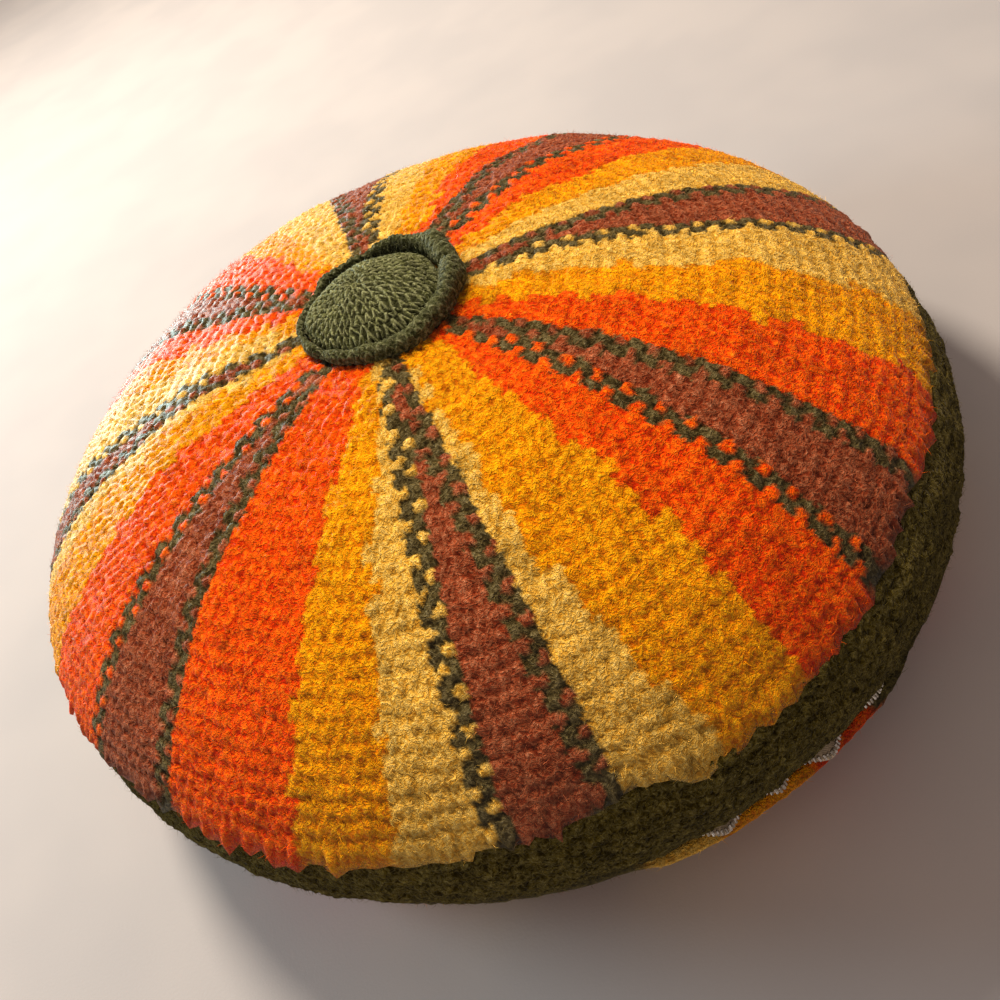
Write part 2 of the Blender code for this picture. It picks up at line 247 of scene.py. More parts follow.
@dataclass(frozen=True)
class CushionForm:
    """The stuffed cushion's form: a regular drum that is bent to the real outline."""

    seam_radius: float = 190 * MM
    seam_height: float = 75 * MM
    back_seam_height: float = 30 * MM
    crown: float = 62 * MM
    fullness: float = 2.65
    roundness: float = 0.77
    tuft_depth: float = 3 * MM
    tuft_radius: float = 42 * MM
    rest_radius: float = 115 * MM
    bulge: float = 6 * MM
    bulge_shares: Pair = (0.85, 0.95)
    thickness: float = 4 * MM
    gap: float = 0.4 * MM
    pull_reach: float = 18 * MM
    pull_inward: float = 0.5
    pull_upward: float = 0.85
    pole_shift: Pair = (-3.4 * MM, -1.0 * MM)
    middle: Pair = (2.0 * MM, -3.0 * MM)
    zip_angle: float = -77.0
    zip_half_arc: float = 18.0
    zip_full_share: float = 0.7
    outline_steps: int = 400

    def crown_height(self, radius: Array) -> Array:
        """Height of the regular front panel over its seam."""
        share = np.clip(radius / self.seam_radius, 0.0, 1.0)
        dome = self.crown * (1 - share**self.fullness) ** self.roundness
        return dome - self.tuft_depth * np.exp(-((radius / self.tuft_radius) ** 2))

    def crown_outline(self) -> tuple[Array, Array, Array]:
        """The front's section from pole to seam, as length, radius and height."""
        steps = np.linspace(0, math.pi / 2, self.outline_steps + 1)
        radius = self.seam_radius * np.sin(steps)
        height = self.seam_height + self.crown_height(radius)
        return lengths_along(radius, height), radius, height

    def dish_arc(self, inset: float, steps: int) -> Array:
        """The back's quarter ellipse from its seam down to the flat patch."""
        turn = np.linspace(math.pi / 2, 0.0, steps + 1)
        reach = self.seam_radius - self.rest_radius - inset
        drop = self.back_seam_height - inset
        return np.stack([self.rest_radius + reach * np.sin(turn), inset + drop * (1 - np.cos(turn))], 1)

    def zip_share(self, angle: Array) -> Array:
        """1 in the middle of the stretch where the zip shows, 0 past its ends."""
        away = np.abs(turn_between(angle, self.zip_angle))
        return smooth_step(self.zip_half_arc, self.zip_half_arc * self.zip_full_share, away)

    def zip_open(self, angle: Array) -> Array:
        """1 where the band and the back stand clear of the zip's folds, 0 between them."""
        return np.minimum(1.0, bump_sum(BOWS, angle)) * self.zip_share(angle)

    def bend(self, radius: Array, angle: Array, height: Array) -> Array:
        """Move points of the regular drum to their places on the real cushion.

        Args:
            radius: distance from the drum's axis.
            angle: degrees round it.
            height: over the floor.

        Returns:
            One row x, y, z for each point.
        """
        radius, angle, height = np.broadcast_arrays(radius, angle, height)
        share = radius / self.seam_radius
        front = around(SECTIONS, "front_radius", angle) * MM / self.seam_radius
        back = around(SECTIONS, "back_radius", angle) * MM / self.seam_radius
        lift = around(SECTIONS, "front_lift", angle) * MM
        front_seam = self.seam_height + lift
        back_seam = front_seam - around(SECTIONS, "band_height", angle) * MM
        span = self.seam_height - self.back_seam_height
        up = (height - self.back_seam_height) / span
        low_up = height / self.back_seam_height
        zones = [height >= self.seam_height, height >= self.back_seam_height]
        stretch = np.select(zones, [front, back + (front - back) * up], 1 + (back - 1) * low_up)
        in_band = back_seam + (front_seam - back_seam) * up
        on_crown = height + lift * np.minimum(1.0, share) ** 2
        new_height = np.select(zones, [on_crown, in_band], back_seam * low_up)
        wave = np.sin(math.pi * np.clip(up, 0.0, 1.0)) * smooth_step(*self.bulge_shares, share)
        new_radius = radius * stretch + self.bulge * wave
        away = np.hypot(self.seam_radius - radius, height - self.seam_height) / self.pull_reach
        draw = bump_sum(PULLS, angle) * MM * np.exp(-(away**2))
        new_radius = new_radius - self.pull_inward * draw
        new_height = new_height + self.pull_upward * draw
        turn = np.radians(angle)
        to_pole = np.where(zones[0], np.maximum(0.0, 1 - share), 0.0)
        x = new_radius * np.cos(turn) + self.pole_shift[0] * to_pole - self.middle[0]
        y = new_radius * np.sin(turn) + self.pole_shift[1] * to_pole - self.middle[1]
        return np.stack([x, y, new_height], -1)


FORM = CushionForm()


@dataclass(frozen=True)
class GridPlan:
    """How finely a worked surface is divided: columns round it, rings along it."""

    columns: int
    rings: int
    finer: tuple[tuple[int, int], ...] = ()


def read_vectors(items: bpy.types.bpy_prop_collection, key: str) -> Array:
    """Read three numbers of every item, one row each."""
    flat = np.zeros(len(items) * 3)
    items.foreach_get(key, flat)
    return flat.reshape(-1, 3)


def keep_over(mesh: bpy.types.Mesh, lowest: float) -> None:
    """Raise the points that lie lower than a height to it."""
    points = read_vectors(mesh.vertices, "co")
    points[:, 2] = np.maximum(points[:, 2], lowest)
    mesh.vertices.foreach_set("co", points.ravel())
    mesh.update()


def new_mesh(name: str, bm: bmesh.types.BMesh) -> bpy.types.Mesh:
    """Turn what was built into a mesh and let the builder go."""
    mesh = bpy.data.meshes.new(name)
    bm.to_mesh(mesh)
    bm.free()
    return mesh


@dataclass
class WorkedMesh:
    """A closed mesh with each point's angle and ring on the flat grid."""

    mesh: bpy.types.Mesh
    angle: Array
    ring: Array

    def points(self) -> Array:
        """The places of the mesh's points."""
        return read_vectors(self.mesh.vertices, "co")

    def place(self, points: Array) -> None:
        """Put the mesh's points at new places."""
        self.mesh.vertices.foreach_set("co", points.ravel())
        self.mesh.update()

    def outward(self) -> Array:
        """The outward direction at each point."""
        return read_vectors(self.mesh.vertex_normals, "vector")

    def raise_by(self, rise: Array) -> None:
        """Push each point outward by its own amount."""
        self.place(self.points() + self.outward() * rise[:, None])

    def note(self, name: str, values: Array) -> None:
        """Keep a number, or a colour of three numbers, at each point."""
        if values.ndim == 1:
            layer = self.mesh.attributes.new(name, "FLOAT", "POINT")
            layer.data.foreach_set("value", values.astype(np.float32))
            return
        layer = self.mesh.color_attributes.new(name, "FLOAT_COLOR", "POINT")
        filled = np.ones((len(values), 4), np.float32)
        filled[:, :3] = values
        layer.data.foreach_set("color", filled.ravel())


def level_edges(bm: bmesh.types.BMesh, low: float, high: float) -> list[bmesh.types.BMEdge]:
    """The flat grid's edges along its columns' width, between two heights."""
    return [
        edge
        for edge in bm.edges
        if abs(edge.verts[0].co.y - edge.verts[1].co.y) < SAME_LEVEL and low < edge.verts[0].co.y < high
    ]


def worked_mesh(name: str, plan: GridPlan, place: Callable[[Array, Array], Array]) -> WorkedMesh:
    """Bend a flat grid to a form and close its seam and its poles.

    Args:
        name: the mesh's name.
        plan: the grid's divisions.
        place: gives the points for angles and rings.

    Returns:
        The closed mesh, its faces outward.
    """
    bm = bmesh.new()
    bmesh.ops.create_grid(bm, x_segments=plan.columns, y_segments=plan.rings, size=0.5)
    for low, high in plan.finer:
        across = level_edges(bm, (low - 0.5) / plan.rings - 0.5, (high + 0.5) / plan.rings - 0.5)
        bmesh.ops.subdivide_edges(bm, edges=across, cuts=1, use_grid_fill=True)
    mesh = new_mesh(name, bm)
    flat = read_vectors(mesh.vertices, "co")
    angle = (flat[:, 0] + 0.5) * 360 - 180
    ring = (flat[:, 1] + 0.5) * plan.rings
    worked = WorkedMesh(mesh, angle, ring)
    worked.note("angle", angle)
    worked.note("ring", ring)
    worked.place(place(angle, ring))
    bm = bmesh.new()
    bm.from_mesh(mesh)
    bmesh.ops.remove_doubles(bm, verts=bm.verts, dist=WELD_REACH)
    bmesh.ops.recalc_face_normals(bm, faces=bm.faces)
    bm.to_mesh(mesh)
    bm.free()
    for key in ("angle", "ring"):
        values = np.zeros(len(mesh.vertices), np.float32)
        mesh.attributes[key].data.foreach_get("value", values)
        setattr(worked, key, values.astype(float))
        mesh.attributes.remove(mesh.attributes[key])
    mesh.shade_smooth()
    return worked


def show(name: str, mesh: bpy.types.Mesh, material: bpy.types.Material) -> bpy.types.Object:
    """Make a mesh a piece of the scene with its finish."""
    mesh.materials.clear()
    mesh.materials.append(material)
    piece = bpy.data.objects.new(name, mesh)
    bpy.context.scene.collection.objects.link(piece)
    return piece


class Yarn(Enum):
    """The wool's colours, as red, green and blue of a screen from 0 to 255."""

    BROWN = (156, 85, 55)
    GREEN = (97, 87, 55)
    CREAM = (230, 187, 88)
    MUSTARD = (236, 160, 6)
    ORANGE = (236, 95, 5)
    FOREST = (97, 87, 43)
    LEAF = (132, 137, 98)

    def linear(self) -> Array:
        """The colour as light, for a shader."""
        shares = np.array(self.value) / 255
        return np.where(shares <= 0.04045, shares / 12.92, ((shares + 0.055) / 1.055) ** 2.4)


@dataclass(frozen=True)
class Stripe:
    """One stripe and the angles where it ends, from the middle out, in degrees."""

    yarn: Yarn
    ends: tuple[float, ...]


BROWN, CREAM, MUSTARD, ORANGE = Yarn.BROWN, Yarn.CREAM, Yarn.MUSTARD, Yarn.ORANGE
FIRST_EDGE = -104.0
# How far out an edge's angles are given, as shares of the way from the middle to the seam.
STATIONS = (0.21, 0.35, 0.65, 1.0)
STRIPES = (
    Stripe(BROWN, (-91.2,)),
    Stripe(CREAM, (-89.7, -88.0, -86.5, -82.5)),
    Stripe(MUSTARD, (-72,)),
    Stripe(ORANGE, (-62.7,)),
    Stripe(BROWN, (-49.2,)),
    Stripe(ORANGE, (-38,)),
    Stripe(MUSTARD, (-26.7,)),
    Stripe(CREAM, (-16.5,)),
    Stripe(BROWN, (-0.5,)),
    Stripe(CREAM, (9.5,)),
    Stripe(MUSTARD, (19.5,)),
    Stripe(ORANGE, (30,)),
    Stripe(BROWN, (49, 48.5, 47, 45)),
    Stripe(ORANGE, (56,)),
    Stripe(MUSTARD, (66.5,)),
    Stripe(CREAM, (75.5,)),
    Stripe(BROWN, (90,)),
    Stripe(CREAM, (102,)),
    Stripe(MUSTARD, (111,)),
    Stripe(ORANGE, (123,)),
    Stripe(BROWN, (139,)),
    Stripe(ORANGE, (146.5,)),
    Stripe(MUSTARD, (155.5,)),
    Stripe(CREAM, (164.5,)),
    Stripe(BROWN, (175,)),
    Stripe(CREAM, (179,)),
    Stripe(MUSTARD, (190.5,)),
    Stripe(ORANGE, (204,)),
    Stripe(BROWN, (220.5,)),
    Stripe(ORANGE, (249.5, 242.2, 239, 236.5)),
    Stripe(MUSTARD, (255, 251.5, 249.5, 248)),
    Stripe(CREAM, (256,)),
)


class Shape(Enum):
    """How a stitch shows its yarn on the ground colour."""

    FULL = 0
    DOT = 1
    TAB = 2


@dataclass
class StitchField:
    """Where every point lies in its stitch, and what each stitch is worked in."""

    along: Array
    across: Array
    cell: Array
    yarn: Array
    shape: Array
    count: int
    wide: float = 4.2 * MM
    tall: float = 6.3 * MM
    dot: float = 2.15 * MM
    edge: float = 0.5 * MM

    def shown(self) -> Array:
        """How far each point wears its stitch's own yarn, from 0 on the ground to 1."""
        shape = self.shape[self.cell]
        over = (self.across - 0.5) * self.wide
        over = np.where(shape == Shape.TAB.value, np.maximum(0.0, over), over)
        away = np.hypot(over, (self.along - 0.5) * self.tall)
        mask = smooth_step(self.dot + self.edge, self.dot - self.edge, away)
        return np.where(shape == Shape.FULL.value, 1.0, mask)


@dataclass(frozen=True)
class StripedWork:
    """Radial stripes worked in rounds of stitches, with two-yarn borders."""

    stitch: float = 4.2 * MM
    slant: float = 1.3 * MM
    slant_from: float = 6 * MM
    soft_wander: float = 0.45
    firm_wander: float = 0.08
    most_wander: float = 0.8
    narrowest: float = 0.45
    turned: float = 0.0
    seed: int = SEED

    def edges(self, shares: Array, radii: Array) -> Array:
        """The stripes' edge angles for each row of stitches.

        Args:
            shares: each row's length from the pole as a share of the whole.
            radii: each row's radius.

        Returns:
            One row of angles for each row of stitches, ends included.
        """
        rng = np.random.default_rng(self.seed)
        table = np.zeros((len(shares), len(STRIPES) + 1))
        table[:, 0] = FIRST_EDGE
        for index, stripe in enumerate(STRIPES):
            ends = stripe.ends if len(stripe.ends) > 1 else stripe.ends * len(STATIONS)
            table[:, index + 1] = np.interp(shares, STATIONS, ends)
            follower = STRIPES[(index + 1) % len(STRIPES)]
            soft = Yarn.BROWN not in (stripe.yarn, follower.yarn)
            wander = rng.normal(0, self.soft_wander if soft else self.firm_wander, len(shares))
            wander = np.clip(wander, -self.most_wander, self.most_wander)
            table[:, index + 1] += wander * np.degrees(self.stitch / radii)
        table[:, -1] = table[:, 0] + 360
        table = np.maximum.accumulate(table, axis=1)
        for index in range(1, len(STRIPES)):
            width = np.radians(table[:, index + 1] - table[:, index]) * radii
            narrow = width < self.narrowest * self.stitch
            table[narrow, index + 1] = table[narrow, index]
        return table

    def cell_yarns(self, counts: Array, starts: Array) -> tuple[Array, Array]:
        """Pick every stitch's yarn and shape, with the borders of the brown stripes.

        Args:
            counts: stitches of each row and stripe.
            starts: number of the first stitch of each row and stripe.

        Returns:
            The yarn's place in the list of yarns, and the shape, for each stitch.
        """
        yarns = list(Yarn)
        green = (yarns.index(Yarn.GREEN), Shape.FULL.value)
        picked = np.zeros((int(counts.sum()), 2), int)
        for row in range(counts.shape[0]):
            for index, stripe in enumerate(STRIPES):
                count, start = counts[row, index], starts[row, index]
                own = yarns.index(stripe.yarn)
                picked[start : start + count] = (own, Shape.FULL.value)
                if stripe.yarn is not Yarn.BROWN or not count:
                    continue
                before = yarns.index(STRIPES[index - 1].yarn)
                low, high = self.border(before, green, row % 2), self.border(own, green, row % 2)
                if count < 4:
                    low, high = low[:1], high[1:]
                if count < 2:
                    low = high
                picked[start : start + len(low)] = low
                picked[start + count - len(high) : start + count] = high
        return picked[:, 0], picked[:, 1]

    @staticmethod
    def border(left: int, green: tuple[int, int], odd: int) -> list[tuple[int, int]]:
        """Two stitches of a border, whose left neighbour's yarn alternates with green."""
        return [(left, Shape.TAB.value), green] if odd else [green, (left, Shape.DOT.value)]

    def lay_out(self, angle: Array, row_place: Array, radius: Array, rows: int) -> StitchField:
        """Find each point's stitch.

        Args:
            angle: degrees.
            row_place: rows from the pole, with their fraction.
            radius: distance from the axis.
            rows: how many rows there are.

        Returns:
            The points' places in their stitches.
        """
        row = np.clip(np.floor(row_place).astype(int), 0, rows - 1)
        along = np.clip(row_place - row, 0.0, 1.0)
        lean = np.degrees(self.slant * (along - 0.5) / np.maximum(radius, self.slant_from))
        turned = (angle + self.turned + lean - FIRST_EDGE) % 360 + FIRST_EDGE
        centres = np.arange(rows) + 0.5
        row_radius = np.array([radius[row == k].mean() if (row == k).any() else 1.0 for k in range(rows)])
        table = self.edges(centres / rows, row_radius)
        widths = np.diff(table, axis=1)
        counts = np.maximum(1, np.round(np.radians(widths) * row_radius[:, None] / self.stitch)).astype(int)
        counts[widths < 1e-6] = 0
        starts = np.concatenate([[0], np.cumsum(counts.ravel())[:-1]]).reshape(counts.shape)
        cell = np.zeros(len(angle), int)
        across = np.zeros(len(angle))
        for k in range(rows):
            here = np.flatnonzero(row == k)
            stripe = np.clip(np.searchsorted(table[k], turned[here], "right") - 1, 0, len(STRIPES) - 1)
            share = (turned[here] - table[k][stripe]) / np.maximum(widths[k][stripe], 1e-6)
            place = np.clip(share, 0.0, 0.99999) * counts[k][stripe]
            cell[here] = starts[k][stripe] + np.floor(place).astype(int)
            across[here] = place - np.floor(place)
        yarn, shape = self.cell_yarns(counts, starts)
        return StitchField(along, across, cell, yarn, shape, int(counts.sum()))


def yarn_colours(fields: StitchField, seed: int, spread: float = 0.07) -> Array:
    """The light colour at each point, a little different from stitch to stitch."""
    table = np.array([yarn.linear() for yarn in Yarn])
    rng = np.random.default_rng(seed)
    tone = 1 + rng.normal(0, spread, fields.count)
    own = table[fields.yarn[fields.cell]]
    ground = table[list(Yarn).index(Yarn.GREEN)]
    shown = fields.shown()[:, None]
    return (own * shown + ground * (1 - shown)) * np.clip(tone, *TONE_RANGE)[fields.cell, None]


def joined(operation: str, swapped: bool = False) -> Callable[["Value", object], "Value"]:
    """Make an operator that joins two terms in a Math node, swapped for a number in front."""

    def join(own: "Value", other: object) -> "Value":
        """Join the two terms."""
        first, second = (other, own) if swapped else (own, other)
        return own.bench.node("ShaderNodeMath", {"operation": operation}, {0: first, 1: second})

    return join


class Value:
    """A shader socket that takes part in sums."""

    def __init__(self, bench: "Bench", socket: bpy.types.NodeSocket) -> None:
        """Keep the socket and the bench that it belongs to."""
        self.bench = bench
        self.socket = socket

    __add__ = joined("ADD")
    __radd__ = joined("ADD", swapped=True)
    __sub__ = joined("SUBTRACT")
    __rsub__ = joined("SUBTRACT", swapped=True)
    __mul__ = joined("MULTIPLY")

    def __abs__(self) -> "Value":
        """Self without its sign."""
        return self.bench.node("ShaderNodeMath", {"operation": "ABSOLUTE"}, {0: self, 1: 0.0})


class Bench:
    """One material's nodes."""

    def __init__(self, name: str) -> None:
        """Start a material with a plain shader."""
        self.material = bpy.data.materials.new(name)
        self.material.use_nodes = True
        self.tree = self.material.node_tree
        self.shader = self.tree.nodes["Principled BSDF"]

    def node(self, kind: str, settings: dict, sockets: dict, output: int | str = 0) -> Value:
        """Add a node.

        Args:
            kind: the node's type.
            settings: what is set first, by name.
            sockets: each input's value or link, by name or number.
            output: which output is returned.

        Returns:
            The output, ready for sums.
        """
        made = self.tree.nodes.new(kind)
        for key, value in settings.items():
            setattr(made, key, value)
        for key, value in sockets.items():
            self.feed(made.inputs[key], value)
        return Value(self, made.outputs[output])

    def feed(self, socket: bpy.types.NodeSocket, value: object) -> None:
        """Link or set one input."""
        if isinstance(value, Value):
            self.tree.links.new(value.socket, socket)
        else:
            socket.default_value = value

    def finish(self, links: dict, constants: dict) -> bpy.types.Material:
        """Feed the shader's inputs and hand over the material."""
        for key, value in {**links, **constants}.items():
            self.feed(self.shader.inputs[key], value)
        return self.material

    def place(self) -> Value:
        """Object coordinates."""
        return self.node("ShaderNodeTexCoord", {}, {}, "Object")

    def noise(self, size: float, detail: float = 2.0, distortion: float = 0.0) -> Value:
        """Noise whose features are about size metres apart."""
        sockets = {"Vector": self.place(), "Scale": 1 / size, "Detail": detail, "Distortion": distortion}
        return self.node("ShaderNodeTexNoise", {}, sockets, "Fac")

    def kept(self, name: str, output: str) -> Value:
        """What the mesh keeps at each point under a name."""
        return self.node("ShaderNodeAttribute", {"attribute_name": name}, {}, output)

    def ranged(self, value: Value, low: float, high: float, start: float = 0.0, end: float = 1.0) -> Value:
        """Spread the stretch from low to high over start to end."""
        sockets = {0: value, 1: low, 2: high, 3: start, 4: end}
        return self.node("ShaderNodeMapRange", {"interpolation_type": "SMOOTHSTEP"}, sockets)

    def mixed(self, share: object, first: object, second: object, blend: str = "MIX") -> Value:
        """Mix two colours."""
        settings = {"data_type": "RGBA", "blend_type": blend}
        return self.node("ShaderNodeMix", settings, {0: share, 6: first, 7: second}, 2)

    def bump(self, height: Value, distance: float, strength: float) -> Value:
        """Small relief from a height."""
        sockets = {"Height": height, "Distance": distance, "Strength": strength}
        return self.node("ShaderNodeBump", {}, sockets)


@dataclass(frozen=True)
class WoolFinish:
    """Felted wool: curled fibres on a yarn of varied tone, painted shade in hollows and pits, painted
    highlight on streaks.
    """

    name: str
    fibre: float = 2.2 * MM
    finer: float = 0.62
    curl: float = 0.8
    crest: Pair = (0.90, 0.995)
    crest_share: float = 0.6
    trough: Pair = (0.88, 0.62)
    trough_shares: Pair = (0.7, 0.4)
    heather: float = 6 * MM
    heather_tone: Pair = (0.84, 1.16)
    streak_light: float = 0.3
    pit_shade_gamma: float = 0.5
    pit_shade: float = 0.3
    hollow_shade_gamma: float = 0.25
    hollow_shade: float = 0.27
    relief: float = 0.7 * MM
    relief_shares: Pair = (0.7, 0.6)
    strength: float = 1.0
    roughness: Pair = (0.85, 1.0)
    sheen: float = 0.06
    sheen_spread: float = 0.3
    haze: float = 0.5
    haze_spread: float = 0.72

    def make(self) -> bpy.types.Material:
        """The material."""
        bench = Bench(self.name)
        yarn = bench.kept("Yarn", "Color")
        hollow_shade_mask = bench.kept("HollowShade", "Fac")
        curls = bench.noise(self.fibre, 1.0, self.curl)
        more = bench.noise(self.fibre * self.finer, 1.0, self.curl)
        ridge = 1 - abs(curls * 2 - 1)
        other = 1 - abs(more * 2 - 1)
        crests = [bench.ranged(value, *self.crest) for value in (ridge, other)]
        streak = crests[0] * self.crest_share + crests[1] * self.crest_share
        troughs = [bench.ranged(value, *self.trough) for value in (ridge, other)]
        pit = troughs[0] * self.trough_shares[0] + troughs[1] * self.trough_shares[1]
        heather = bench.noise(self.heather, 3.0, 0.5)
        tone = bench.ranged(heather, 0.25, 0.75, *self.heather_tone)
        # Painted shade: darker in the hollows between stitches and in the fibres' pits, times a random
        # tone.
        shade = tone * (1 - hollow_shade_mask * self.hollow_shade) * (1 - pit * self.pit_shade)
        # The gamma deepens the yarn as painted shade in hollows and pits, and pales it as a painted
        # highlight on the streaks.
        depth = 1 + pit * self.pit_shade_gamma + hollow_shade_mask * self.hollow_shade_gamma - streak * self.streak_light
        wear_and_shade = bench.node("ShaderNodeGamma", {}, {"Color": yarn, "Gamma": depth})
        base = bench.mixed(1.0, wear_and_shade, shade, "MULTIPLY")
        up, down = self.relief_shares
        normal = bench.bump(streak * up - pit * down, self.relief, self.strength)
        rough = bench.ranged(heather, 0.2, 0.8, *self.roughness)
        links = {"Base Color": base, "Normal": normal, "Roughness": rough}
        constants = {"Sheen Weight": self.sheen, "Sheen Roughness": self.sheen_spread}
        constants |= {"Coat Weight": self.haze, "Coat Roughness": self.haze_spread}
        constants["Specular IOR Level"] = 0.0
        return bench.finish(links, constants)


@dataclass(frozen=True)
class FibreFinish:
    """A loose fibre: the yarn's colour, lighter or darker in random patches."""

    name: str = "loose_fibre"
    patch: float = 1.5 * MM
    tone: Pair = (0.8, 1.5)
    roughness: float = 0.6
    gloss: float = 0.2

    def make(self) -> bpy.types.Material:
        """The material."""
        bench = Bench(self.name)
        varied = bench.ranged(bench.noise(self.patch, 1.0), 0.3, 0.7, *self.tone)
        base = bench.mixed(1.0, bench.kept("Yarn", "Color"), varied, "MULTIPLY")
        constants = {"Roughness": self.roughness, "Specular IOR Level": self.gloss}
        return bench.finish({"Base Color": base}, constants)


@dataclass(frozen=True)
class TapeFinish:
    """Beige cotton twill of the zip."""

    name: str = "zip_cotton"
    colour: Colour = (0.62, 0.50, 0.38, 1.0)
    shade: Colour = (0.40, 0.31, 0.22, 1.0)
    thread: float = 0.5 * MM
    dirt: float = 5 * MM
    relief: float = 0.15 * MM
    roughness: float = 0.85
    sheen: float = 0.2

    def make(self) -> bpy.types.Material:
        """The material."""
        bench = Bench(self.name)
        settings = {"wave_type": "BANDS", "bands_direction": "DIAGONAL"}
        sockets = {"Vector": bench.place(), "Scale": 0.3 / self.thread, "Distortion": 1.5, "Detail": 2.0}
        twill = bench.node("ShaderNodeTexWave", settings, sockets, "Fac")
        dirt = bench.noise(self.dirt, 3.0)
        base = bench.mixed(bench.ranged(dirt * 0.6 + twill * 0.4, 0.2, 0.8), self.shade, self.colour)
        normal = bench.bump(twill, self.relief, 0.7)
        constants = {"Roughness": self.roughness, "Sheen Weight": self.sheen}
        return bench.finish({"Base Color": base, "Normal": normal}, constants)


@dataclass(frozen=True)
class MetalFinish:
    """Bright worn metal of the zip's teeth."""

    name: str = "zip_teeth_metal"
    colour: Colour = (0.90, 0.89, 0.87, 1.0)
    tarnish: Colour = (0.36, 0.33, 0.28, 1.0)
    patch: float = 1.2 * MM
    relief: float = 0.05 * MM
    roughness: Pair = (0.38, 0.16)

    def make(self) -> bpy.types.Material:
        """The material."""
        bench = Bench(self.name)
        wear_and_shade = bench.noise(self.patch, 3.0)
        base = bench.mixed(bench.ranged(wear_and_shade, 0.42, 0.62), self.tarnish, self.colour)
        rough = bench.ranged(wear_and_shade, 0.3, 0.7, *self.roughness)
        normal = bench.bump(wear_and_shade, self.relief, 0.4)
        return bench.finish({"Base Color": base, "Roughness": rough, "Normal": normal}, {"Metallic": 1.0})


